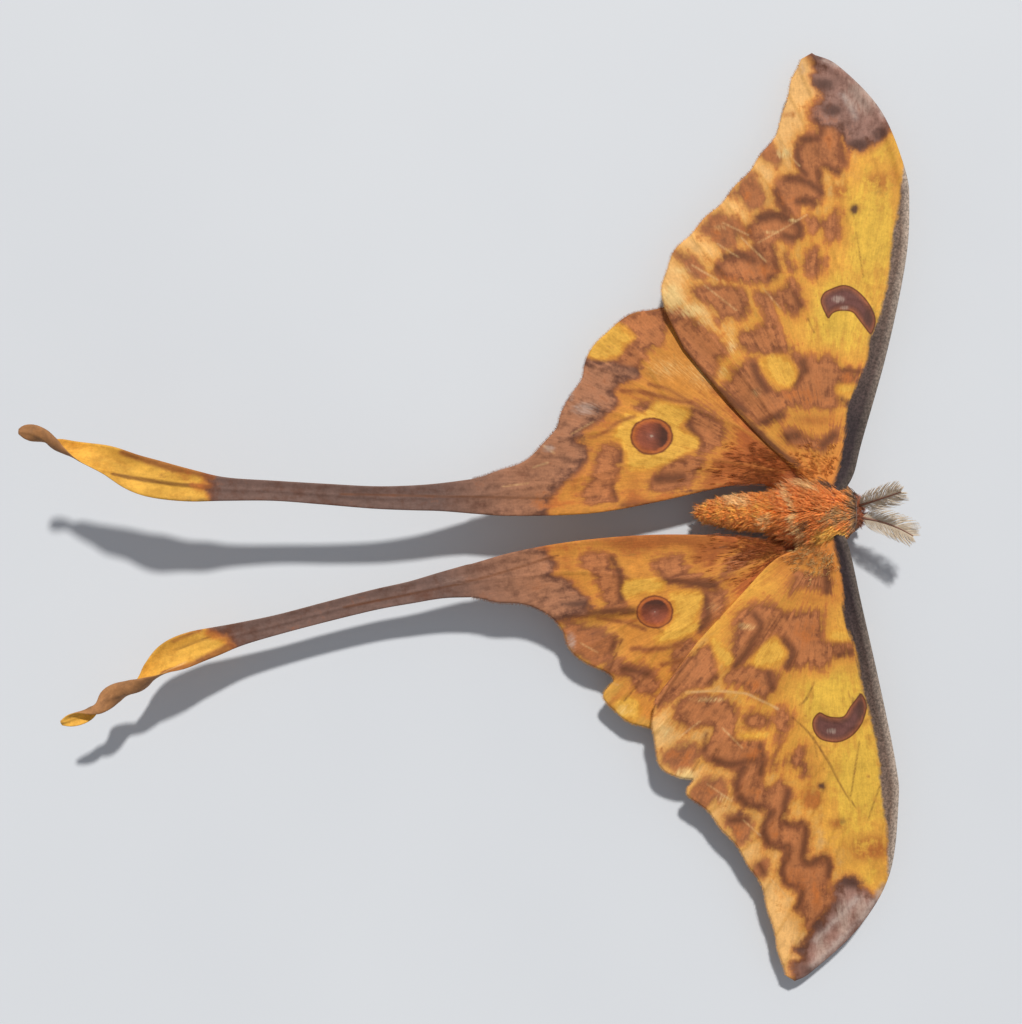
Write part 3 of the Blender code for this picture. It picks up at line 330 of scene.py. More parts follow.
# Lines on the forewings: half width, then the points that the line runs through
FORE_STROKES = {
    "left": {
        "dark": (
            (0.5, (-1.9, 47.3), (0.0, 47.4)),
            (0.35, (-2.6, 46.6), (-2.6, 45.2), (-2.2, 43.6), (-1.6, 42.9)),
            (0.45, (-3.8, 42.4), (-2.0, 42.0), (-0.2, 41.0), (0.3, 40.4)),
            (0.4, (-5.3, 40.6), (-4.9, 39.3), (-4.2, 38.0)), (0.4, (-2.6, 39.4), (-1.2, 39.4), (-0.3, 39.0)),
            (0.3, (0.0, 43.2), (0.2, 41.6), (0.4, 40.4)), (0.3, (1.0, 43.9), (2.6, 43.0)),
            (0.25, (3.2, 44.4), (2.9, 46.8)), (0.6, (-7.6, 37.2), (-5.6, 37.6), (-4.2, 37.2)),
            (0.35, (-8.8, 36.0), (-8.9, 35.0)),
            (0.42, (-4.4, 35.0), (-2.9, 34.7), (-2.5, 35.8), (-2.9, 36.5)),
            (0.4, (-8.2, 33.4), (-7.4, 32.3), (-6.9, 31.2)),
            (0.55, (-12.0, 32.2), (-10.0, 32.4), (-8.4, 31.8)),
            (0.35, (-6.0, 33.4), (-5.6, 32.0), (-5.4, 30.4)), (0.35, (-5.6, 29.6), (-6.6, 29.6)),
            (0.4, (-12.9, 30.9), (-12.2, 30.0)), (0.35, (0.4, 48.0), (0.6, 49.2)),
            (0.3, (4.4, 38.2), (4.7, 38.5)), (0.45, (-8.5, 18.4), (-7.9, 16.8), (-6.9, 15.3)),
            (0.5, (-2.4, 18.8), (-2.0, 17.8)), (0.4, (-3.4, 16.0), (-2.4, 17.6)),
            (0.3, (2.7, 17.9), (4.7, 17.6)), (0.5, (-4.3, 9.4), (-3.1, 9.6)), (0.5, (0.1, 8.4), (1.5, 9.6)),
            (0.35, (2.5, 14.2), (3.2, 13.6)), (0.3, (-3.4, 27.6), (-2.6, 26.0)),
            (0.4, (-9.6, 12.8), (-12.2, 15.2)), (0.5, (-7.4, 11.2), (-5.2, 12.2)),
            (0.45, (-8.6, 10.9), (-5.6, 7.9), (-3.2, 5.9)),
        ),
        # creases: dark lines of painted shade along the folds
        "crease_shade": (
            (0.26, (-19.6, 24.9), (-17.3, 20.9), (-13.9, 16.8), (-10.4, 12.8), (-6.6, 8.8), (-3.0, 5.8)),
            (0.08, (-0.9, 22.6), (-1.7, 24.4)), (0.07, (5.4, 29.6), (4.6, 35.4)),
            (0.06, (-0.2, 28.6), (-0.6, 30.6)),
        ),
        "frost": (
            (0.5, (1.0, 57.6), (3.6, 56.8), (6.0, 54.4), (7.8, 51.8), (8.4, 50.6)),
            (0.35, (3.2, 53.2), (4.2, 51.6), (4.8, 50.2)),
        ),
        "scratch": (
            (0.07, (-16.2, 31.2), (-12.8, 29.2)), (0.06, (-5.0, 46.5), (-2.4, 43.9)),
            (0.07, (-9.9, 34.7), (-6.8, 31.6)), (0.06, (-5.4, 47.8), (-3.4, 45.2)),
            (0.06, (-12.9, 33.9), (-10.3, 32.2)), (0.07, (-12.2, 36.6), (-9.0, 35.0)),
            (0.05, (-1.6, 37.6), (-3.9, 36.2), (-7.8, 34.0)),
            (0.06, (-14.6, 28.6), (-10.6, 25.4)), (0.05, (-7.2, 28.2), (-5.0, 25.6)),
        ),
    },
    "right": {
        "dark": (
            (0.5, (-13.4, -31.2), (-11.9, -31.8), (-10.0, -31.7), (-8.2, -31.2)),
            (0.5, (-9.6, -32.2), (-10.3, -33.4), (-10.5, -35.0)),
            (0.36, (-7.6, -29.6), (-7.3, -31.2), (-7.5, -33.0)),
            (0.5, (-10.0, -36.0), (-8.8, -37.2), (-7.4, -37.3)),
            (0.4, (-4.0, -35.4), (-4.4, -37.4), (-4.5, -39.2), (-3.1, -39.7), (-2.1, -39.3), (-1.6, -40.4),
             (-1.8, -42.6), (-1.9, -43.9), (-1.1, -44.7), (0.1, -43.9), (0.8, -43.7), (1.4, -44.8),
             (1.3, -46.2)),
            (0.45, (-6.0, -38.0), (-7.0, -39.6), (-6.9, -40.8), (-6.3, -42.0), (-5.2, -42.6), (-3.9, -42.5),
             (-4.1, -43.9), (-4.6, -45.2), (-4.4, -46.4), (-3.6, -47.4), (-2.2, -47.6), (-2.1, -49.1),
             (-2.6, -50.4)),
            (0.4, (1.6, -50.6), (0.2, -52.2), (-0.6, -53.4), (-1.9, -55.2)),
            (0.4, (-2.4, -57.6), (-1.2, -57.2)),
            (0.4, (-11.2, -39.1), (-9.2, -38.9)), (0.3, (-7.4, -44.8), (-6.9, -45.8)),
            (0.5, (0.6, -7.2), (0.7, -9.9)),
            (0.4, (-8.4, -12.9), (-7.6, -14.4), (-8.6, -16.0), (-9.4, -17.6), (-10.8, -19.3)),
            (0.5, (-4.6, -16.2), (-3.6, -17.6), (-4.2, -19.2)), (0.35, (2.2, -18.0), (3.6, -17.6)),
            (0.4, (-6.6, -20.4), (-6.2, -22.2)), (0.35, (-13.9, -21.4), (-13.3, -20.8)),
            (0.35, (-14.4, -28.0), (-14.6, -30.0)), (0.3, (0.2, -34.6), (0.4, -34.9)),
        ),
        # creases: dark lines of painted shade along the folds
        "crease_shade": (
            (0.10, (-3.7, -25.8), (-2.4, -26.9), (-1.0, -28.4), (0.9, -31.3), (1.6, -32.5),
             (2.6, -34.4), (3.5, -35.9), (4.8, -37.6)),
            (0.10, (-0.9, -21.4), (-1.7, -23.3), (-2.6, -24.3)),
            (0.07, (-0.8, -28.4), (-0.4, -30.9)), (0.07, (4.9, -29.0), (3.9, -36.1)),
            (0.07, (7.6, -34.6), (6.2, -39.1)), (0.12, (-16.2, -32.8), (-15.2, -31.3)),
            (0.14, (-20.6, -24.6), (-18.0, -20.4), (-14.6, -16.4)),
        ),
        "frost": (
            (0.4, (0.0, -54.6), (2.6, -51.8), (5.0, -49.2)),
            (0.45, (-0.6, -58.0), (3.4, -54.0), (6.6, -50.2), (8.2, -47.6)),
        ),
        "scratch": (
            (0.13, (-17.0, -22.7), (-13.5, -22.5), (-10.9, -22.7), (-9.3, -22.9), (-8.0, -23.5),
             (-6.7, -24.1), (-5.4, -24.8)),
            (0.06, (-14.2, -34.4), (-11.0, -36.6)), (0.06, (-9.6, -39.0), (-7.4, -41.0)),
            (0.06, (-6.0, -46.6), (-4.2, -48.6)), (0.06, (-12.4, -27.2), (-9.8, -29.8)),
            (0.06, (-17.8, -28.4), (-15.2, -26.4)),
        ),
    },
}

# Soft spots on the forewings: x, y, half length, half width, strength
FORE_CLOUDS = {
    "left": {
        "lemon": ((6.4, 35.0, 3.6, 8.0, 1.0), (2.6, 25.0, 4.6, 5.4, 1.0), (8.6, 46.0, 2.0, 3.0, 0.6)),
        "rust": ((2.6, 40.6, 2.2, 1.5, 0.8), (7.5, 41.8, 2.4, 1.8, 0.9), (1.5, 49.6, 1.8, 1.2, 0.3),
                 (-3.6, 50.6, 1.0, 0.6, 0.5), (4.5, 38.3, 1.0, 0.9, 1.0), (9.4, 42.5, 1.4, 4.0, 0.5),
                 (-9.0, 30.6, 3.0, 1.4, 0.4), (-1.0, 11.6, 5.0, 1.2, 0.7), (-6.6, 24.5, 1.6, 1.2, 0.4),
                 (-12.0, 22.5, 2.0, 1.4, 0.4), (-2.0, 7.2, 3.0, 1.0, 0.5)),
        "ember": ((0.2, 50.0, 1.0, 1.6, 0.3), (3.6, 49.2, 1.8, 2.4, 0.3), (1.0, 46.5, 1.2, 2.0, 0.3),
                  (-4.2, 39.4, 1.6, 1.4, 0.4), (-6.6, 30.6, 2.6, 1.2, 0.5), (-11.2, 29.4, 2.4, 1.2, 0.5),
                  (-8.6, 35.4, 1.4, 1.0, 0.4), (-9.4, 40.0, 1.2, 1.2, 0.5), (-13.0, 35.2, 1.2, 1.2, 0.5),
                  (-2.6, 14.6, 4.4, 1.4, 0.5), (3.2, 16.8, 1.4, 0.9, 0.6)),
        "dusk": ((4.5, 38.3, 0.6, 0.6, 0.8), (2.0, 51.2, 1.5, 0.8, 0.9), (7.9, 48.1, 1.2, 0.9, 0.9),
                 (5.2, 46.7, 1.5, 0.9, 0.9), (7.6, 40.4, 0.8, 0.5, 0.5), (1.0, 54.6, 1.7, 1.0, 0.8),
                 (0.2, 58.0, 1.6, 0.7, 0.7), (6.1, 24.4, 1.0, 1.6, 0.7), (-10.2, 41.0, 0.8, 0.6, 0.4),
                 (-14.0, 35.8, 1.0, 0.8, 0.4)),
        # the pale lilac-grey clouds are painted sheen on the apex and a painted highlight on the crescent
        "painted_sheen": ((5.8, 53.2, 2.4, 3.0, 0.8), (2.2, 26.8, 0.8, 0.5, 1.0), (3.0, 25.7, 0.7, 0.3, 0.8),
                 (-2.0, 56.6, 0.8, 1.2, 0.5)),
        "worn": ((-18.6, 27.0, 1.6, 1.8, 1.0), (-16.2, 25.4, 2.0, 1.0, 0.8), (-14.6, 24.0, 1.4, 0.8, 0.5),
                 (-11.2, 20.9, 0.8, 1.2, 0.6), (-12.3, 17.6, 0.8, 1.0, 0.5), (-8.2, 15.0, 0.8, 0.9, 0.4),
                 (-4.4, 45.5, 1.0, 0.8, 0.8), (-12.6, 36.0, 1.2, 0.6, 0.4), (-6.0, 35.4, 1.4, 0.35, 0.5),
                 (-3.4, 36.9, 0.6, 0.3, 0.7), (-17.6, 30.4, 1.8, 0.8, 0.5)),
    },
    "right": {
        "lemon": ((5.0, -34.0, 3.6, 8.0, 1.0), (1.8, -23.6, 4.4, 5.0, 1.0), (6.6, -46.0, 2.0, 3.0, 0.5)),
        "rust": ((-0.8, -36.2, 1.6, 1.9, 1.0), (0.2, -38.4, 0.5, 2.2, 0.6), (2.4, -39.4, 1.4, 1.0, 0.9),
                 (3.2, -42.6, 0.5, 2.4, 0.5), (6.4, -42.6, 3.0, 2.1, 1.0), (-1.0, -10.8, 5.0, 1.1, 0.6),
                 (-9.0, -30.4, 2.0, 1.6, 0.4), (0.6, -50.6, 1.6, 1.4, 0.5), (7.4, -45.5, 1.6, 1.6, 0.5),
                 (-2.0, -6.6, 3.0, 1.2, 0.5)),
        "ember": ((-9.0, -30.6, 1.6, 1.4, 0.5), (-8.4, -35.4, 1.0, 1.4, 0.5), (-5.2, -41.0, 0.9, 1.4, 0.5),
                  (-2.6, -46.6, 1.6, 1.6, 0.6), (0.0, -48.4, 1.2, 2.2, 0.6), (-10.6, -40.4, 1.1, 0.9, 0.5),
                  (-14.0, -35.2, 1.0, 1.0, 0.5), (-1.6, -15.2, 2.4, 1.8, 0.5), (-17.6, -30.8, 1.6, 1.0, 0.5),
                  (-8.6, -21.6, 2.0, 1.0, 0.5)),
        "dusk": ((0.3, -34.7, 0.5, 0.5, 0.9), (3.0, -39.1, 0.6, 0.6, 0.5), (4.2, -47.0, 1.7, 1.0, 0.9),
                 (2.6, -50.4, 1.4, 1.3, 0.5), (0.4, -52.6, 1.2, 1.4, 0.6), (-1.9, -55.4, 1.2, 1.3, 0.7),
                 (-1.4, -58.4, 1.6, 1.0, 0.6), (4.9, -24.6, 0.9, 1.6, 0.7), (2.6, -26.2, 1.8, 0.5, 0.6),
                 (-9.6, -38.2, 1.2, 0.8, 0.4)),
        # the pale lilac-grey clouds are painted sheen on the apex and a painted highlight on the crescent
        "painted_sheen": ((3.4, -51.6, 1.2, 2.6, 0.8), (0.6, -55.6, 1.0, 2.0, 0.8), (5.6, -50.6, 1.2, 2.0, 0.8),
                 (1.4, -27.6, 0.7, 0.4, 0.8)),
        "worn": ((-17.0, -33.3, 1.3, 1.0, 1.0), (-9.4, -14.4, 1.5, 0.6, 0.5), (-12.0, -36.2, 1.6, 0.8, 0.4),
                 (-14.0, -23.6, 3.0, 0.5, 0.5), (-19.6, -27.6, 1.4, 2.0, 0.5)),
    },
}


def smooth_line(points, steps=8, closed=False):
    """Points along a Catmull-Rom curve through the given points, of any dimension."""
    knots = np.asarray(points, float)
    if closed:
        knots = np.vstack((knots[-1:], knots, knots[:2]))
    else:
        knots = np.vstack((2 * knots[0] - knots[1], knots, 2 * knots[-1] - knots[-2]))
    share = (np.arange(steps) / steps)[:, None]
    made = []
    for a, b, c, d in zip(knots, knots[1:], knots[2:], knots[3:]):
        made.append(0.5 * (2 * b + (c - a) * share + (2 * a - 5 * b + 4 * c - d) * share ** 2
                           + (3 * b - a - 3 * c + d) * share ** 3))
    line = np.vstack(made)
    return line if closed else np.vstack((line, knots[-2:-1]))


def along_line(line, shares):
    """Points at shares of a line's length in plan."""
    line = np.asarray(line, float)
    run = np.concatenate(((0,), np.cumsum(np.hypot(*np.diff(line[:, :2], axis=0).T))))
    spots = np.asarray(shares, float) * run[-1]
    return np.stack([np.interp(spots, run, column) for column in line.T], axis=1)


def even_points(line, spacing):
    """Points along a line in even steps in plan."""
    length = np.hypot(*np.diff(np.asarray(line, float)[:, :2], axis=0).T).sum()
    return along_line(line, np.linspace(0, 1, max(2, round(length / spacing)) + 1))


def gap_to_line(spots, line, closed=False):
    """Shortest distance in plan from each spot to a line."""
    line = np.asarray(line, float)[:, :2]
    ends = np.roll(line, -1, axis=0) if closed else line[1:]
    best = np.full(len(spots), 1e9)
    for a, b in zip(line, ends):
        way = b - a
        share = np.clip((spots - a) @ way / max(way @ way, 1e-12), 0, 1)
        best = np.minimum(best, np.hypot(*(spots - a - share[:, None] * way).T))
    return best


def depth_in(spots, outline):
    """How deep each spot lies inside a closed outline in plan; less than 0 outside it."""
    outline = np.asarray(outline, float)[:, :2]
    x, y = spots.T
    odd = np.zeros(len(spots), bool)
    for a, b in zip(outline, np.roll(outline, -1, axis=0)):
        if a[1] != b[1]:
            across = x < a[0] + (y - a[1]) * (b[0] - a[0]) / (b[1] - a[1])
            odd ^= ((a[1] > y) != (b[1] > y)) & across
    gap = gap_to_line(spots, outline, closed=True)
    return np.where(odd, gap, -gap)


def fade(value, low, high):
    """0 below low, 1 above high and smooth between them."""
    share = np.clip((value - low) / (high - low), 0, 1)
    return share * share * (3 - 2 * share)


def near_box(spots, points, reach):
    """Which spots lie in the box around some points, grown by a reach."""
    points = np.asarray(points, float)[:, :2]
    low, high = points.min(axis=0) - reach, points.max(axis=0) + reach
    return ((spots > low) & (spots < high)).all(axis=1)


def markings(spots, patches, strokes, clouds):
    """Depths in millimetres in the patches and strokes, and the clouds' strengths, at spots."""
    made = {}
    for name, outlines in patches.items():
        depth = np.full(len(spots), -FAR)
        for outline in outlines:
            near = near_box(spots, outline, FAR)
            inside = depth_in(spots[near], smooth_line(outline, 3, closed=True))
            depth[near] = np.maximum(depth[near], inside)
        made[name] = depth
    for name, lines in strokes.items():
        depth = np.full(len(spots), -FAR)
        for half, *line in lines:
            near = near_box(spots, line, FAR)
            gap = gap_to_line(spots[near], smooth_line(line, 4) if len(line) > 2 else line)
            depth[near] = np.maximum(depth[near], half - gap)
        made[name] = depth
    for name, puffs in clouds.items():
        strength = np.zeros(len(spots))
        for x, y, length, width, most in puffs:
            far = ((spots[:, 0] - x) / length) ** 2 + ((spots[:, 1] - y) / width) ** 2
            strength = np.maximum(strength, most * np.exp(-far))
        made[name] = strength
    return made


def scalloped(line, waves, side):
    """An outer margin whose edge dips a little between the veins."""
    count = max(len(line), waves * 12)
    points = along_line(line, np.arange(count + 1) / count)
    way = np.gradient(points, axis=0)
    way /= np.hypot(*way.T)[:, None]
    step = np.arange(count + 1)
    ends = fade(step * 5 / 12, 0, 3) * fade((count - step) * 5 / 12, 0, 3)
    wave = SCALLOP * np.sin(np.pi * waves * step / count) ** 2 * ends * side
    return points + wave[:, None] * np.stack((way[:, 1], -way[:, 0]), axis=1)


def fill_plan(rim, spacing):
    """Triangles over the inside of a rim: the rim's own points, and an even grid within."""
    low, high = rim.min(axis=0), rim.max(axis=0)
    rows = np.arange(low[1], high[1], spacing * 0.87)
    spots = []
    for number, y in enumerate(rows):
        x = np.arange(low[0] + (number % 2) * spacing / 2, high[0], spacing)
        spots.append(np.stack((x, np.full(len(x), y)), axis=1))
    spots = np.vstack(spots)
    spots = spots[depth_in(spots, rim) > spacing * 0.55]
    points = [Vector(p) for p in np.vstack((rim, spots))]
    edges = [(i, (i + 1) % len(rim)) for i in range(len(rim))]
    plan, _, faces, _, _, _ = delaunay_2d_cdt(points, edges, [], 1, 1e-5)
    return np.array([tuple(p) for p in plan]), np.array([tuple(f) for f in faces])


def forewing_veins(sign, outer):
    """The stem and the cell, then one vein to each place on the outer margin."""
    cell = {key: (x, sign * y) for key, (x, y) in FOREWING_CELL.items()}
    veins = [
        ((1.8, sign * 5.2), (4.9, sign * 15.0), cell["front"]),
        ((-0.4, sign * 5.2), cell["fork"], cell["back"], cell["end"], cell["front"]),
        [(x, sign * y) for x, y in FOREWING_RADIUS],
        ((-1.6, sign * 5.6), (-7.6, sign * 14.2), tuple(along_line(outer, (0.9,))[0])),
    ]
    for start, share in FOREWING_VEINS:
        a, b = cell[start], along_line(outer, (share,))[0]
        bow = 1.3 * (1 - share) ** 2
        veins.append((a, ((a[0] + b[0]) / 2 + bow, (a[1] + b[1]) / 2 + sign * 0.8), tuple(b)))
    return [smooth_line(vein) for vein in veins]


def inner_gap(side, spots):
    """Distance in plan to the forewing's inner margin, beyond the thorax."""
    return gap_to_line(spots, smooth_line(FOREWINGS[side]["inner"], 4))


def forewing_height(side, spots):
    """The wing droops towards its tip, and its inner margin rests on the hindwing."""
    span = np.abs(spots[:, 1])
    rest = (1 - fade(inner_gap(side, spots), 0.0, 5.0)) * fade(span, 3.5, 8.0)
    return (FOREWING_ROOT_HEIGHT - FOREWING_DROOP * span - FOREWING_CURVE * span ** 2
            - REST_DROP * rest)


def relief(marks, sides):
    """How a wing's middle surface sags between its veins, and half its thickness."""
    sag = -MEMBRANE_SAG * fade(marks["vein"], 0.3, 2.2) * fade(marks["edge"], 0.0, 2.0)
    half = MEMBRANE / 2 * fade(marks["edge"], -0.2, 0.25)
    ridge = VEIN_RIDGE * np.exp(-(marks["vein"] / VEIN_HALF) ** 2)
    half = half + ridge * fade(marks["edge"], 0.0, 0.6)
    half = half + sides * LEADING_ROD * np.exp(-((marks["lead"] - ROD_PLACE) / ROD_HALF) ** 2)
    half = half + ROOT_SWELL * np.exp(-(marks["root"] / ROOT_REACH) ** 2)
    return sag, half


def two_faces(points, triangles, half):
    """Sheets above and below one set of triangles, joined along the rim. half holds the way from
    each point of the middle surface to the upper sheet."""
    top, low = points + half, points - half
    count = len(points)
    sides = np.vstack((triangles[:, (0, 1)], triangles[:, (1, 2)], triangles[:, (2, 0)]))
    known = {tuple(side) for side in sides.tolist()}
    rim = np.array([side for side in known if side[::-1] not in known])
    walls = [np.column_stack((rim[:, 1], rim[:, 0], rim[:, 0] + count)),
             np.column_stack((rim[:, 1], rim[:, 0] + count, rim[:, 1] + count))]
    return np.vstack((top, low)), np.vstack((triangles, triangles[:, ::-1] + count, *walls))


def both_faces(marks):
    """The marks of a sheet's points, first for its upper face and then for its lower one."""
    doubled = {name: np.concatenate((values, values)) for name, values in marks.items()}
    doubled["under"] = np.repeat((0.0, 1.0), len(marks["root"]))
    return doubled


def make_piece(name, points, triangles, surface, marks, slot, nodes=(), bake_map=None):
    """A piece of the moth, with its markings as values at its points."""
    mesh = bpy.data.meshes.new(name)
    triangles = np.asarray(triangles, np.int32)
    mesh.vertices.add(len(points))
    mesh.vertices.foreach_set("co", to_row(points).astype(np.float32).ravel())
    mesh.loops.add(triangles.size)
    mesh.loops.foreach_set("vertex_index", triangles.ravel())
    mesh.polygons.add(len(triangles))
    mesh.polygons.foreach_set("loop_start", np.arange(0, triangles.size, 3, dtype=np.int32))
    mesh.update(calc_edges=True)
    if bake_map is not None:
        bake_layer = mesh.uv_layers.new(name="OFBake")
        bake_layer.data.foreach_set("uv", bake_map[triangles.ravel()].astype(np.float32).ravel())
    for key, values in marks.items():
        held = mesh.attributes.new(key, "FLOAT", "POINT")
        held.data.foreach_set("value", np.asarray(values, np.float32))
    mesh.shade_smooth()
    mesh.materials.append(surface)
    piece = bpy.data.objects.new(name, mesh)
    bpy.context.scene.collection.objects.link(piece)
    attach(piece, "root")
    if nodes:
        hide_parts(*nodes)
    return piece


# Wing scales: flat chitin blades 0.1 mm long in rows, matt as powder. They give an even, soft
# colour with ragged edges between the markings, since each scale has one colour. The grain is
# drawn three times coarser than real scales, so that it shows.
SCALE_GRAIN = 0.3
RAGGED_STEP = 1.1
CLOUD_STEP = 5.0
STREAKS_ROUND = 30.0
STREAK_LENGTH = 6.4
WING_LAYERS = (
    # mark, spread, colour at its edge, colour inside, millimetres to that, softness, raggedness, share
    ("brown", 1.0, "#DE963C", "#CA7C36", 1.3, 0.9, 2.3, 0.88),
    ("blush", 0.8, "#DD9A44", "#C87F3C", 1.1, 0.8, 1.4, 0.8),
    ("mauve", 0.6, "#C87C38", "#A86038", 0.8, 0.6, 1.3, 0.85),
    ("blush", 0.0, "#8C5236", "#AC683E", 1.0, 0.6, 1.7, 0.9),
    ("brown", 0.0, "#84482C", "#B87244", 1.2, 0.6, 1.9, 0.94),
    ("dark", 0.05, "#7C4426", "#66381E", 0.5, 0.5, 0.9, 0.86),
    ("mauve", 0.0, "#6E4230", "mauve", 1.5, 0.45, 1.0, 1.0),
    ("frost", 0.0, "#A48C86", "#B9A69E", 0.4, 0.50, 1.0, 0.7),
    ("yellow", 0.0, "#E09C34", "#E8B046", 0.6, 0.42, 0.9, 0.95),
    ("line", 0.0, "#A86430", "#8E4E24", 0.4, 0.28, 0.5, 0.85),
    # creases: painted shade that darkens the folds of the membrane
    ("crease_shade", 0.0, "#74401A", "#643414", 0.2, 0.16, 0.3, 0.75),
    ("scratch", 0.06, "#E0AC70", "#EBC890", 0.1, 0.14, 0.1, 0.4),
)
GROUND_CLOUDS = (("rust", "#AC5E28", 0.85), ("lemon", "#E3B544", 1.0))
# the pale lilac-grey clouds are painted sheen and highlights on the scales
OVER_CLOUDS = (("ember", "#B86628", 0.8), ("dusk", "#4E3028", 0.8), ("painted_sheen", "#B49C90", 0.65),
               ("worn", "#E8CC8C", 0.65))
# the crescent of the forewing: a thin dark line, a rust rim and a plum middle, by depth
CRESCENT = ((0.0, "#4E2614"), (0.12, "#7A3E1C"), (0.24, "#9A5A3C"), (0.5, "#7E4A3A"),
            (0.8, "#6A4038"), (1.0, "#724640"))
# the eye spot of the hindwing, by the share of its radius; its pale middle is a painted glint
EYE_RINGS = ((0.0, "#D6BEA8"), (0.09, "#9A5A4A"), (0.3, "#8E4A34"), (0.62, "#964C32"),
             (0.76, "#A8562C"), (0.86, "#B8642A"), (0.94, "#7A3E1C"), (1.0, "#8A4A1E"))
NO_RING = 9.0
DEPTH_MARKS = ("blush", "brown", "dark", "mauve", "frost", "yellow", "line", "crease_shade", "scratch",
               "costa", "moon")
PUFF_MARKS = ("rust", "lemon", "ember", "dusk", "painted_sheen", "worn")
PLACE_MARKS = ("vein", "lead", "margin", "root", "fan", "reach", "ring", "ring_side", "under")


def layer(tree, colour, value, low, high, tone, most=1.0, ramp="SMOOTHSTEP"):
    """A tone laid over a colour as a value goes from low to high, up to a share of most."""
    share = node(tree, "ShaderNodeMapRange", {0: value, 1: low, 2: high, 4: most},
                 interpolation_type=ramp).outputs[0]
    return node(tree, "ShaderNodeMix", {0: share, 6: colour, 7: tone}, data_type="RGBA").outputs[2]


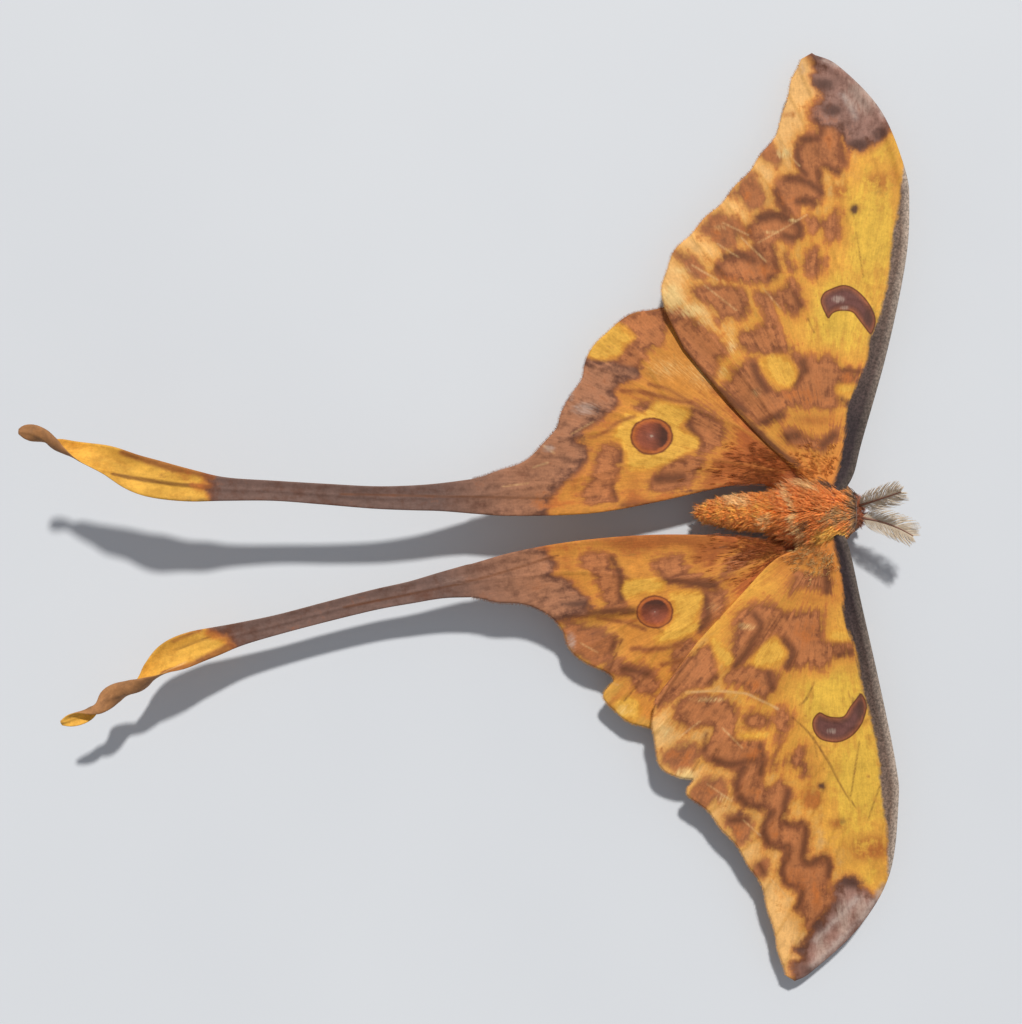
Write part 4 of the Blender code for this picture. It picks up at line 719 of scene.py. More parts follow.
def scale_material(name, near_root, middle, near_margin, root_reach, margin_reach, mauves):
    """Wing scales over ground colours that change from the root to the outer margin. The mauve
    goes from the first of its two tones to the second one along the tail."""
    surface, tree, shader = new_material(name, roughness=0.8, ior=1.5, sheen_weight=0.04,
                                         sheen_roughness=0.4)
    at = {mark: node(tree, "ShaderNodeAttribute", attribute_name=mark).outputs["Fac"]
          for mark in DEPTH_MARKS + PUFF_MARKS + PLACE_MARKS}
    place = node(tree, "ShaderNodeTexCoord").outputs["Object"]
    fan = node(tree, "ShaderNodeCombineXYZ", {"X": at["fan"], "Y": at["reach"]}).outputs[0]
    ragged, grain, cloudy, streaks, fibres = (
        node(tree, "ShaderNodeTexNoise", {"Vector": where, "Scale": scale, "Detail": detail,
                                          "Roughness": rough}).outputs["Fac"]
        for where, scale, detail, rough in (
            (place, 1 / (RAGGED_STEP * MM), 4.0, 0.65), (place, 1 / (SCALE_GRAIN * MM), 2.0, 0.7),
            (place, 1 / (CLOUD_STEP * MM), 2.0, 0.5), (fan, 1.0, 3.0, 0.5), (fan, 4.5, 2.0, 0.6)))
    mixed = node(tree, "ShaderNodeMath", {0: ragged, 1: streaks}, operation="ADD").outputs[0]
    shake = node(tree, "ShaderNodeMath", {0: mixed, 1: -1.0}, operation="ADD").outputs[0]
    torn = node(tree, "ShaderNodeMath", {0: fibres, 1: -0.5}, operation="ADD").outputs[0]
    torn = node(tree, "ShaderNodeMath", {0: torn, 1: 2.6, 2: 1.0}, operation="MULTIPLY_ADD").outputs[0]

    colour = linear(middle)
    for mark, shade, reach in (("root", near_root, root_reach), ("margin", near_margin, margin_reach)):
        wander = node(tree, "ShaderNodeMath", {0: shake, 1: reach * 0.8, 2: at[mark]},
                      operation="MULTIPLY_ADD").outputs[0]
        colour = layer(tree, colour, wander, reach * 1.3, reach * 0.5, linear(shade))
    colour = layer(tree, colour, at["vein"], 0.34, 0.05, linear("#B9822E"), 0.4, "LINEAR")

    def lay_clouds(colour, clouds):
        """Soft spots over a colour. Worn spots and spots of painted sheen are torn along the fibres."""
        for mark, shade, most in clouds:
            if mark in ("worn", "painted_sheen"):
                lifted = node(tree, "ShaderNodeMath", {0: torn, 1: at[mark]}, operation="MULTIPLY")
            else:
                lifted = node(tree, "ShaderNodeMath", {0: shake, 1: 1.3, 2: at[mark]},
                              operation="MULTIPLY_ADD")
            colour = layer(tree, colour, lifted.outputs[0], 0.15, 0.85, linear(shade), most)
        return colour

    mauve = layer(tree, linear(mauves[0]), at["root"], 34.0, 46.0, linear(mauves[1]), 1.0, "LINEAR")
    colour = lay_clouds(colour, GROUND_CLOUDS)
    for mark, spread, rim, heart, deep, soft, wobble, most in WING_LAYERS:
        depth = node(tree, "ShaderNodeMath", {0: shake, 1: wobble, 2: at[mark]},
                     operation="MULTIPLY_ADD").outputs[0]
        inward = node(tree, "ShaderNodeMapRange", {0: depth, 1: -spread, 2: deep - spread}).outputs[0]
        inward = node(tree, "ShaderNodeMath", {0: shake, 1: 2.2, 2: inward},
                      operation="MULTIPLY_ADD", use_clamp=True).outputs[0]
        heart = mauve if heart == "mauve" else linear(heart)
        tone = node(tree, "ShaderNodeMix", {0: inward, 6: linear(rim), 7: heart},
                    data_type="RGBA").outputs[2]
        colour = layer(tree, colour, depth, -soft - spread, soft - spread, tone, most)
    colour = lay_clouds(colour, OVER_CLOUDS)

    ring = node(tree, "ShaderNodeMath", {0: shake, 1: 0.12, 2: at["ring"]},
                operation="MULTIPLY_ADD").outputs[0]
    ramps = []
    for value, stops in ((at["moon"], CRESCENT), (ring, EYE_RINGS)):
        made = node(tree, "ShaderNodeValToRGB", {0: value})
        for place_on, shade in stops[1:-1]:
            made.color_ramp.elements.new(place_on)
        for stop, (place_on, shade) in zip(made.color_ramp.elements, stops):
            stop.position = place_on
            stop.color = linear(shade)
        ramps.append(made.outputs["Color"])
    # the crescent takes the dark clouds and the painted highlight on its pale spot
    crescent = lay_clouds(ramps[0], OVER_CLOUDS[1:3])
    colour = layer(tree, colour, at["moon"], -0.06, 0.06, crescent, 1.0, "LINEAR")

    # the leading edge: plum grey scales, paler and speckled towards the rim
    pale, plum = (layer(tree, linear(near), at["root"], 8.0, 34.0, linear(far), 1.0, "LINEAR")
                  for near, far in (("#62564F", "#BCAA9C"), ("#33262A", "#7C665A")))
    lead, costa = (node(tree, "ShaderNodeMath", {0: shake, 1: wobble, 2: at[mark]},
                        operation="MULTIPLY_ADD").outputs[0]
                   for mark, wobble in (("lead", 0.5), ("costa", 0.9)))
    edge_tone = layer(tree, pale, lead, 0.1, 1.1, plum, 1.0, "LINEAR")
    speck = node(tree, "ShaderNodeMapRange", {0: grain, 1: 0.35, 2: 0.65, 3: 0.6, 4: 1.4}).outputs[0]
    edge_tone = node(tree, "ShaderNodeVectorMath", {0: edge_tone, "Scale": speck},
                     operation="SCALE").outputs[0]
    colour = layer(tree, colour, costa, -0.25, 0.3, edge_tone)

    # one half of the eye spot is in the dark
    half_dark, within = (
        node(tree, "ShaderNodeMapRange", {0: value, 1: low, 2: high, 4: most}).outputs[0]
        for value, low, high, most in ((at["ring_side"], -0.1, 0.5, 0.88), (ring, 0.78, 0.7, 1.0)))
    half_dark = node(tree, "ShaderNodeMath", {0: half_dark, 1: within}, operation="MULTIPLY").outputs[0]
    spot_tone = node(tree, "ShaderNodeMix", {0: half_dark, 6: ramps[1], 7: linear("#3C1E14")},
                     data_type="RGBA").outputs[2]
    colour = layer(tree, colour, ring, 1.03, 0.95, spot_tone, 1.0, "LINEAR")

    # the underside is paler and duller than the upper side
    colour = layer(tree, colour, at["under"], 0.0, 1.0, linear("#C29A66"), 0.35, "LINEAR")
    for noise, least, most in ((grain, 0.91, 1.09), (cloudy, 0.90, 1.10), (streaks, 0.89, 1.11),
                               (fibres, 0.90, 1.10), (ragged, 0.86, 1.12)):
        light = node(tree, "ShaderNodeMapRange", {0: noise, 1: 0.3, 2: 0.7, 3: least,
                                                  4: most}).outputs[0]
        colour = node(tree, "ShaderNodeVectorMath", {0: colour, "Scale": light},
                      operation="SCALE").outputs[0]
    tree.links.new(colour, shader.inputs["Base Color"])
    bump = node(tree, "ShaderNodeBump", {"Strength": 0.35, "Distance": 0.06 * MM, "Height": grain})
    furrow = node(tree, "ShaderNodeBump", {"Strength": 0.4, "Distance": 0.1 * MM, "Height": streaks,
                                           "Normal": bump.outputs["Normal"]})
    tree.links.new(furrow.outputs["Normal"], shader.inputs["Normal"])
    return surface


def wing_marks(spots, parts, veins, root, rim, patches, strokes, clouds):
    """The values that the scale material and the relief read, at spots in plan."""
    marks = {name: np.full(len(spots), -FAR) for name in DEPTH_MARKS}
    marks.update({name: np.zeros(len(spots)) for name in PUFF_MARKS})
    marks.update(markings(spots, patches, strokes, clouds))
    marks["ring"] = np.full(len(spots), NO_RING)
    marks["ring_side"] = np.zeros(len(spots))
    marks["vein"] = np.min([gap_to_line(spots, vein[::2]) for vein in veins], axis=0)
    marks["lead"] = gap_to_line(spots, parts["leading"][::3])
    marks["margin"] = gap_to_line(spots, parts["outer"][::3])
    marks["edge"] = gap_to_line(spots, rim[::2], closed=True)
    way = spots - root
    marks["root"] = np.hypot(*way.T)
    marks["fan"] = np.arctan2(way[:, 1], way[:, 0]) * STREAKS_ROUND
    marks["reach"] = marks["root"] / STREAK_LENGTH
    return marks


wings = {}
fore_scales = scale_material("forewing_chitin_scales", "#DE8A3C", "#E6A642", "#F4BC74", 9.0, 9.0,
                             ("#AE8478", "#9C7468"))
for side, sign in (("left", 1), ("right", -1)):
    shape = FOREWINGS[side]
    outer = smooth_line(shape["outer"])
    parts = {
        "leading": even_points(smooth_line(shape["leading"]), WING_STEP),
        "outer": even_points(scalloped(outer, FOREWING_SCALLOPS, sign), WING_STEP),
        "inner": even_points(smooth_line(shape["inner"]), WING_STEP),
    }
    rim = np.vstack((parts["leading"], parts["outer"], parts["inner"]))
    veins = forewing_veins(sign, outer)
    plan, triangles = fill_plan(rim, WING_STEP)
    root = np.array((0.5, sign * 3.0))
    marks = wing_marks(plan, parts, veins, root, rim, FORE_PATCHES[side], FORE_STROKES[side],
                       FORE_CLOUDS[side])
    sag, half = relief(marks, 1.0)
    middle = np.column_stack((plan, forewing_height(side, plan) + sag))
    points, faces = two_faces(middle, triangles, half[:, None] * (0.0, 0.0, 1.0))
    marks = both_faces(marks)
    make_piece("forewing_" + side + "_scaled", points, faces, fore_scales, marks, "forewing",
               ("forewing_" + side,))
    wings["forewing_" + side] = (middle, marks, parts["outer"], root)

# The hindwings, each in one piece with its long tail. Like the forewings they are a scaled
# membrane on veins. The tail is the same membrane drawn out to a ribbon round its last veins: its
# stem is stiff, and its end is a soft, twisted spoon.
HINDWING_ROOT_HEIGHT = 4.9
HINDWING_SCALLOPS = 5
TAIL_START = -44.0
TAIL_COLUMNS = 17
TAIL_STEP = 0.3
SPOON_START = -79.0
HINDWING_DROOP = 0.045
TAIL_RISE = 1.7
OVERLAP_LIFT = 0.5
PLEAT_STEP = 0.5
TAIL_FLUTTER = 0.14
HINDWINGS = {
    "left": {
        "leading": ((-1.4, 2.0), (-1.6, 4.4), (-3.4, 9.5), (-6.6, 17.0), (-10.9, 23.4),
                    (-15.4, 26.6)),
        "outer": ((-19.7, 26.0), (-24.6, 24.5), (-27.4, 22.0), (-29.5, 19.0), (-30.2, 16.3),
                  (-32.6, 12.5), (-33.5, 10.0), (-36.2, 7.1), (-40.0, 5.1), (-44.0, 4.1)),
        "inner": ((-44.0, -0.2), (-38.9, -0.5), (-29.1, -0.2), (-20.8, 1.2), (-12.5, 3.1),
                  (-8.0, 3.7), (-4.4, 3.9), (-3.0, 2.0)),
    },
    "right": {
        "leading": ((-1.4, -2.0), (-1.6, -4.4), (-3.4, -9.5), (-6.6, -17.0), (-11.4, -24.4),
                    (-16.4, -28.3)),
        "outer": ((-20.6, -27.8), (-24.4, -26.2), (-27.2, -23.6), (-25.6, -21.2), (-28.9, -19.3),
                  (-31.6, -17.0), (-32.5, -14.8), (-34.3, -12.6), (-38.2, -11.4), (-44.0, -10.7)),
        "inner": ((-44.0, -6.5), (-38.2, -4.9), (-30.5, -3.6), (-22.0, -2.9), (-14.5, -2.9),
                  (-9.4, -3.3), (-4.8, -3.9), (-3.0, -2.0)),
    },
}
HINDWING_CELL = {"front": (-18.8, 13.6), "end": (-21.8, 10.8), "back": (-20.8, 7.2)}
HINDWING_VEINS = (("front", 0.18), ("front", 0.36), ("end", 0.52), ("end", 0.70))

# Stations along the tails: x, y, height, width, roll, and how far each edge curls up, in degrees
TAILS = {
    "left": (
        (-47.7, 1.85, 7.2, 3.5, 0, 12), (-51.4, 1.75, 7.9, 3.1, 0, 14), (-56.0, 1.8, 8.6, 2.8, 0, 16),
        (-62.0, 2.2, 9.3, 2.6, 0, 18), (-68.0, 2.6, 9.8, 2.5, 0, 18), (-73.9, 2.8, 10.3, 2.9, 0, 14),
        (-77.9, 3.2, 10.9, 3.9, 0, 12), (-81.7, 3.9, 11.5, 4.6, 0, 16), (-84.4, 4.7, 11.9, 4.6, 6, 28),
        (-87.4, 6.1, 12.4, 4.0, 16, 50), (-90.4, 7.0, 12.8, 3.6, 30, 70),
        (-92.4, 7.7, 13.0, 3.4, 62, 95), (-93.6, 8.3, 13.2, 3.2, 100, 105),
        (-94.8, 8.9, 13.4, 2.8, 140, 80), (-96.2, 9.4, 13.7, 2.3, 165, 45),
        (-97.2, 9.6, 13.8, 1.6, 172, 30), (-97.8, 9.6, 13.9, 0.6, 175, 20),
    ),
    "right": (
        (-47.7, -9.2, 6.0, 3.3, 0, 12), (-51.6, -10.1, 5.7, 2.8, 0, 14), (-56.0, -11.0, 5.5, 2.6, 0, 16),
        (-62.0, -12.5, 5.4, 2.5, 0, 18), (-68.1, -14.1, 5.5, 2.5, 0, 18), (-72.9, -15.3, 5.7, 2.9, 0, 14),
        (-76.0, -16.2, 5.9, 3.6, 0, 12), (-79.0, -17.1, 6.2, 4.3, 4, 26), (-81.8, -18.4, 6.4, 4.8, 20, 62),
        (-83.8, -20.0, 6.6, 4.6, 44, 84), (-85.0, -21.1, 6.8, 4.2, 76, 95),
        (-86.2, -21.8, 7.0, 3.9, 112, 95), (-87.8, -22.5, 7.1, 3.6, 146, 80),
        (-89.4, -23.4, 7.2, 3.1, 180, 70), (-90.4, -24.3, 7.3, 2.9, 225, 85),
        (-91.4, -25.0, 7.4, 2.7, 285, 90), (-92.6, -25.5, 7.6, 2.3, 330, 60),
        (-93.8, -25.9, 7.7, 1.7, 350, 40), (-94.8, -26.2, 7.8, 0.6, 360, 20),
    ),
}
HIND_PATCHES = {
    "left": {
        "brown": (
            ((-16.3, 13.8), (-14.2, 12.9), (-13.0, 12.1), (-11.8, 10.6), (-12.0, 9.4), (-13.0, 8.2),
             (-14.2, 7.5), (-15.4, 7.0), (-15.6, 7.9), (-15.3, 9.2), (-16.7, 10.6), (-16.6, 12.6)),
            ((-14.6, 6.9), (-17.1, 7.0), (-19.1, 6.3), (-20.6, 4.9), (-21.6, 3.9), (-21.4, 2.6),
             (-19.3, 2.5), (-16.9, 3.0), (-15.7, 4.3), (-14.9, 5.5)),
            ((-27.9, 7.7), (-26.9, 8.7), (-25.2, 8.3), (-24.7, 7.2), (-25.3, 6.0), (-25.0, 5.2),
             (-25.8, 3.9), (-26.2, 2.4), (-25.6, 1.2), (-27.9, 0.9), (-29.6, 1.2), (-30.0, 2.8),
             (-29.1, 4.3), (-28.4, 5.8), (-28.6, 6.8)),
            ((-23.6, 13.7), (-22.2, 14.2), (-21.0, 13.7), (-20.4, 12.7), (-21.6, 12.3), (-23.0, 12.6)),
            ((-25.6, 24.6), (-20.6, 26.2), (-19.4, 25.6), (-19.2, 23.5), (-19.8, 21.5), (-21.5, 20.3),
             (-22.3, 19.1), (-23.0, 17.6), (-24.6, 17.2), (-26.2, 18.8), (-24.9, 20.1), (-24.0, 21.4),
             (-23.3, 22.2), (-24.0, 23.2)),
        ),
        "mauve": (
            ((-28.9, 19.4), (-26.4, 19.2), (-24.6, 18.6), (-22.8, 18.2), (-22.9, 17.2), (-24.5, 16.4),
             (-25.9, 15.6), (-25.7, 14.0), (-26.6, 12.6), (-28.2, 11.4), (-30.2, 10.0), (-30.7, 8.8),
             (-29.4, 7.7), (-29.6, 6.2), (-31.4, 4.4), (-33.0, 3.0), (-34.0, 1.6), (-35.6, -1.4),
             (-45.0, -1.5), (-60.0, -0.5), (-74.8, -0.5), (-75.6, 2.0), (-76.6, 2.8), (-75.8, 3.4),
             (-77.0, 6.5), (-60.0, 5.5), (-44.0, 7.0), (-36.0, 9.5), (-32.6, 15.0), (-31.0, 19.0)),
        ),
        "yellow": (
            ((-20.6, 13.9), (-16.6, 13.2), (-16.4, 11.9), (-17.5, 10.9), (-15.4, 9.4), (-15.4, 8.1),
             (-17.0, 7.4), (-20.1, 5.8), (-22.6, 5.3), (-24.4, 5.6), (-25.0, 8.6), (-26.3, 9.4),
             (-25.0, 12.0), (-24.0, 12.8), (-22.2, 12.6)),
            ((-25.5, 24.0), (-23.5, 22.6), (-23.4, 21.9), (-24.5, 21.2), (-25.1, 20.1), (-26.4, 19.3),
             (-28.6, 19.3), (-29.6, 20.2), (-28.8, 21.6), (-27.2, 23.2)),
            ((-75.9, -1.0), (-76.2, 2.3), (-77.4, 2.9), (-76.6, 3.5), (-78.2, 7.0), (-88.0, 10.5),
             (-98.5, 13.0), (-99.0, 6.0), (-88.0, 1.0)),
        ),
    },
    "right": {
        "brown": (
            ((-21.2, -6.2), (-17.5, -5.4), (-16.8, -7.0), (-15.2, -7.9), (-12.6, -8.6), (-13.1, -9.8),
             (-14.9, -9.6), (-17.0, -9.4), (-19.4, -9.2), (-20.6, -7.9)),
            ((-14.9, -9.9), (-12.3, -9.7), (-11.8, -10.9), (-12.1, -12.6), (-13.5, -14.0),
             (-14.7, -15.2), (-15.7, -14.9), (-15.2, -13.5), (-15.4, -12.1), (-14.8, -11.2)),
            ((-30.2, -5.5), (-28.3, -5.0), (-26.9, -5.3), (-26.0, -6.5), (-24.6, -7.9), (-23.8, -8.6),
             (-24.8, -9.8), (-24.6, -11.4), (-25.0, -12.4), (-26.9, -12.4), (-27.4, -10.9),
             (-28.1, -9.3), (-29.0, -7.7), (-30.2, -6.6)),
            ((-26.2, -18.4), (-24.0, -19.2), (-21.6, -19.6), (-20.5, -20.6), (-20.0, -22.4),
             (-21.0, -23.8), (-23.0, -22.6), (-24.6, -21.2), (-27.4, -20.2)),
            ((-13.0, -8.6), (-9.4, -6.8), (-6.5, -4.3), (-8.4, -4.2), (-11.2, -5.8)),
            ((-18.6, -17.4), (-17.0, -15.8), (-15.4, -16.6), (-14.6, -19.4), (-16.0, -22.4),
             (-17.8, -21.4), (-18.6, -19.4)),
        ),
        "blush": (
            ((-32.6, -13.6), (-30.0, -13.9), (-27.8, -14.6), (-26.0, -15.6), (-25.4, -17.0),
             (-26.0, -18.4), (-27.8, -19.2), (-30.2, -18.6), (-31.8, -16.8)),
        ),
        "mauve": (
            ((-34.6, -4.4), (-34.4, -5.6), (-33.4, -6.3), (-33.8, -7.6), (-32.1, -8.4), (-30.9, -9.5),
             (-29.7, -10.7), (-28.9, -12.0), (-31.0, -13.2), (-33.8, -13.8), (-38.0, -13.2),
             (-44.0, -12.5), (-60.0, -15.5), (-73.6, -19.0), (-74.4, -15.8), (-75.4, -15.4),
             (-76.4, -13.0), (-60.0, -9.5), (-44.0, -4.5), (-38.0, -3.6)),
        ),
        "yellow": (
            ((-18.9, -10.2), (-15.2, -10.0), (-14.7, -11.4), (-15.4, -13.5), (-15.6, -14.9),
             (-17.5, -16.1), (-20.1, -16.5), (-20.8, -16.1), (-18.9, -14.2), (-18.5, -12.1)),
            ((-24.6, -8.6), (-20.0, -8.4), (-19.6, -10.0), (-22.0, -10.4), (-24.4, -11.0)),
            ((-26.0, -24.6), (-24.2, -23.4), (-22.4, -24.6), (-22.8, -26.6), (-25.0, -26.4)),
            ((-74.6, -20.0), (-75.2, -16.2), (-76.8, -15.2), (-77.6, -12.0), (-88.0, -17.0),
             (-96.0, -22.0), (-96.5, -29.0), (-86.0, -26.0)),
        ),
    },
}
HIND_STROKES = {
    "left": {
        "dark": (
            (0.4, (-26.4, 15.2), (-25.9, 13.6)), (0.45, (-30.4, 8.0), (-30.0, 7.0)),
            (0.4, (-24.6, 17.9), (-23.2, 17.6)), (0.35, (-16.3, 12.8), (-16.4, 11.0), (-15.3, 9.2)),
            (0.6, (-20.4, 4.2), (-17.4, 4.4)), (0.35, (-25.0, 7.8), (-25.3, 6.2)),
            (0.3, (-26.2, 3.4), (-25.8, 1.6)),
            # this dark line is painted shadow along the fold of the inner margin beside the abdomen
            (0.3, (-25.0, 0.9), (-20.0, 1.1), (-15.7, 2.0), (-13.2, 2.5), (-10.8, 3.2), (-8.3, 3.8)),
        ),
        "line": (
            (0.3, (-25.0, 15.3), (-23.0, 15.3), (-20.6, 14.8), (-18.1, 14.1), (-16.2, 13.8)),
            (0.22, (-21.5, 16.2), (-19.1, 15.5), (-16.7, 14.1)),
            (0.28, (-23.4, 12.1), (-25.5, 11.3), (-27.4, 9.9), (-29.1, 9.4)),
            (0.45, (-75.6, 4.4), (-78.5, 5.0), (-82.0, 5.9), (-86.5, 7.5)),
            (0.3, (-95.4, 8.7), (-95.9, 9.0)),
        ),
        # creases: dark lines of painted shade along the folds, the tail's fold among them
        "crease_shade": (
            (0.12, (-33.7, 1.7), (-44.6, 1.9), (-60.0, 2.2)),
            (0.25, (-75.7, 3.1), (-80.0, 3.4), (-86.5, 4.4)),
            (0.10, (-4.0, 9.2), (-9.0, 13.0), (-15.0, 18.4)),
        ),
        "scratch": ((0.07, (-34.9, 8.3), (-33.6, 7.4)), (0.06, (-36.2, 5.6), (-34.4, 6.2)),
                    (0.05, (-31.4, 9.8), (-28.6, 11.4)), (0.05, (-40.0, 3.2), (-36.8, 3.6))),
    },
    "right": {
        "dark": (
            # this dark line is painted shade in the crease of the pleat
            (0.42, (-34.4, -12.8), (-30.0, -12.7), (-26.0, -12.6), (-23.6, -12.5)),
            (0.35, (-33.9, -6.2), (-33.4, -6.6)), (0.5, (-19.6, -8.6), (-16.0, -9.0), (-13.4, -9.3)),
            (0.45, (-26.2, -6.0), (-25.2, -8.0), (-25.0, -11.0)),
            (0.5, (-14.4, -11.0), (-14.2, -13.2), (-15.0, -14.6)), (0.35, (-26.2, -17.6), (-25.8, -16.2)),
            (0.45, (-24.8, -19.9), (-21.6, -20.6)), (0.35, (-29.6, -11.4), (-29.0, -12.2)),
        ),
        "line": (
            (0.35, (-23.6, -17.4), (-20.4, -17.4), (-17.6, -16.9)), (0.35, (-19.8, -19.4), (-17.4, -18.8)),
            (0.3, (-28.0, -13.4), (-24.6, -14.0), (-22.0, -14.9)),
            (0.6, (-74.4, -16.9), (-78.5, -19.0), (-84.0, -21.4)), (0.28, (-77.4, -14.6), (-80.6, -15.9)),
            (0.4, (-91.0, -24.6), (-91.5, -24.9)),
        ),
        # creases: dark lines of painted shade along the folds, the tail's fold among them
        "crease_shade": (
            (0.12, (-33.0, -5.4), (-44.6, -8.8), (-60.0, -12.0)), (0.14, (-76.5, -15.6), (-81.0, -17.2)),
            (0.12, (-24.9, -16.2), (-26.6, -20.4)), (0.10, (-21.2, -20.2), (-24.6, -24.0)),
        ),
        "scratch": ((0.06, (-27.6, -21.2), (-25.4, -22.0)), (0.05, (-30.2, -16.6), (-28.0, -17.8)),
                    (0.07, (-80.0, -18.8), (-83.4, -21.0))),
    },
}
HIND_CLOUDS = {
    "left": {
        # the rust cloud at (-84.6, 3.0) on the tail is painted shade in its fold; the others are
        # rust-coloured scales
        "rust": ((-9.0, 4.8, 4.0, 1.6, 0.8), (-30.6, 4.0, 1.2, 3.6, 0.9), (-23.4, 3.2, 2.0, 1.8, 0.5),
                 (-22.8, 14.6, 3.0, 0.8, 0.6), (-8.0, 8.0, 3.0, 1.6, 0.5), (-18.0, 1.9, 6.0, 0.7, 0.6),
                 (-27.0, 11.0, 1.8, 1.2, 0.6), (-24.0, 1.2, 8.0, 1.8, 0.95),
                 (-12.6, 5.4, 5.0, 2.6, 0.9), (-79.6, 2.2, 3.2, 0.9, 0.8), (-84.6, 3.0, 2.6, 0.8, 0.6),
                 (-95.4, 9.5, 2.0, 1.4, 0.7)),
        "ember": ((-33.6, 1.0, 3.4, 1.2, 0.6), (-17.0, 1.9, 5.0, 0.8, 0.7), (-8.0, 4.6, 3.0, 1.0, 0.6),
                  (-78.6, 4.4, 1.2, 0.9, 0.7), (-76.6, 3.2, 1.6, 0.6, 0.7)),
        # the dark cloud at (-16.0, 2.6) is painted shadow along the fold of the inner margin
        "dusk": ((-3.6, 4.6, 2.4, 0.8, 0.5), (-36.0, 5.0, 3.0, 1.6, 0.3), (-96.4, 9.2, 0.6, 0.5, 0.6),
                 (-23.2, 17.9, 1.6, 0.6, 0.5), (-29.9, 9.0, 1.2, 0.8, 0.6), (-16.0, 2.6, 4.0, 0.4, 0.5),
                 (-78.0, 1.4, 4.0, 0.5, 0.6)),
        # the pale lilac-grey clouds are painted sheen
        "painted_sheen": ((-29.6, 13.0, 1.9, 1.0, 0.8), (-34.3, 8.0, 0.9, 0.5, 0.9), (-31.4, 15.8, 0.5, 2.6, 0.6)),
        "worn": ((-13.6, 17.6, 4.4, 2.6, 0.5), (-19.4, 18.2, 3.6, 2.0, 0.4)),
    },
    "right": {
        "rust": ((-9.4, -5.6, 3.4, 1.4, 0.9), (-21.8, -17.6, 1.6, 0.6, 0.8), (-24.8, -4.0, 6.0, 0.9, 0.6),
                 (-31.4, -6.6, 1.6, 2.4, 0.6), (-22.0, -3.8, 9.0, 1.8, 0.95),
                 (-13.0, -6.0, 5.0, 2.6, 0.9), (-18.4, -19.2, 1.4, 0.7, 0.8), (-23.8, -13.8, 1.6, 0.5, 0.7),
                 (-77.4, -17.4, 2.4, 0.9, 0.7), (-25.6, -24.4, 1.4, 1.4, 0.5)),
        "ember": ((-33.0, -4.4, 3.6, 0.8, 0.7), (-24.0, -4.2, 4.4, 0.7, 0.6), (-12.0, -4.6, 4.0, 0.8, 0.6),
                  (-76.2, -15.4, 1.4, 0.8, 0.8)),
        # the dark cloud at (-30.8, -11.6) is painted shade along the pleat
        "dusk": ((-3.6, -4.6, 2.4, 0.8, 0.5), (-28.4, -15.6, 1.8, 1.2, 0.4), (-30.8, -11.6, 2.4, 0.5, 0.8),
                 (-26.4, -19.4, 1.2, 0.9, 0.4), (-11.4, -4.6, 3.0, 0.5, 0.4), (-77.0, -18.6, 3.0, 0.6, 0.6),
                 (-91.0, -24.7, 0.5, 0.7, 0.9)),
        # the pale lilac-grey clouds are painted sheen
        "painted_sheen": ((-31.4, -16.4, 0.8, 1.4, 0.7), (-46.0, -8.6, 4.0, 1.0, 0.3)),
        "worn": ((-13.4, -12.0, 1.4, 1.0, 0.3), (-24.6, -25.2, 1.6, 1.0, 0.5)),
    },
}
# The eye spots: middle, and half lengths along and across the moth
EYE_SPOTS = {"left": (-21.2, 9.6, 2.75, 2.4), "right": (-20.8, -12.65, 2.4, 2.15)}


def hindwing_height(side, spots):
    """The hindwing lies under the forewing and lifts towards its tail. The right one has a pleat
    that sets the part beside the tail above the rest."""
    x, y = spots.T
    height = HINDWING_ROOT_HEIGHT - HINDWING_DROOP * np.abs(y) + TAIL_RISE * fade(-x, 20, 42)
    covered = (1 - fade(inner_gap(side, spots), 1.0, 8.0)) * fade(np.abs(y), 3.5, 8.0)
    height = height + OVERLAP_LIFT * covered
    if side == "right":
        pleat = -13.6 + 0.10 * (x + 33)
        height = height + PLEAT_STEP * (fade(y, pleat - 1.0, pleat + 0.8) - 1) * fade(-x, 14, 24)
    return height


def hindwing_veins(sign, shape):
    """The cell ends at the eye spot. The last veins run side by side into the tail."""
    outer = smooth_line(shape["outer"])
    shift = 0.0 if sign > 0 else 1.6
    cell = {key: (x, sign * (y + shift)) for key, (x, y) in HINDWING_CELL.items()}
    tail_middle = (shape["inner"][0][1] + shape["outer"][-1][1]) / 2
    veins = [
        ((-3.2, sign * 5.6), (-10.0, sign * 10.6), cell["front"], cell["end"]),
        ((-4.6, sign * 5.0), (-12.0, sign * (6.4 + shift)), cell["back"], cell["end"]),
        (cell["back"], (-30.0, sign * (4.4 + 2 * shift)), (TAIL_START, tail_middle)),
        ((-3.0, sign * 6.6), (-7.6, sign * 15.4), tuple(along_line(outer, (0.02,))[0])),
    ]
    for start, share in HINDWING_VEINS:
        a, b = cell[start], along_line(outer, (share,))[0]
        veins.append((a, ((a[0] + b[0]) / 2, (a[1] + b[1]) / 2 + sign * 0.5), tuple(b)))
    return [smooth_line(vein) for vein in veins]


def unit(ways):
    """Directions brought to a length of 1."""
    return ways / np.maximum(np.linalg.norm(ways, axis=-1, keepdims=True), 1e-6)


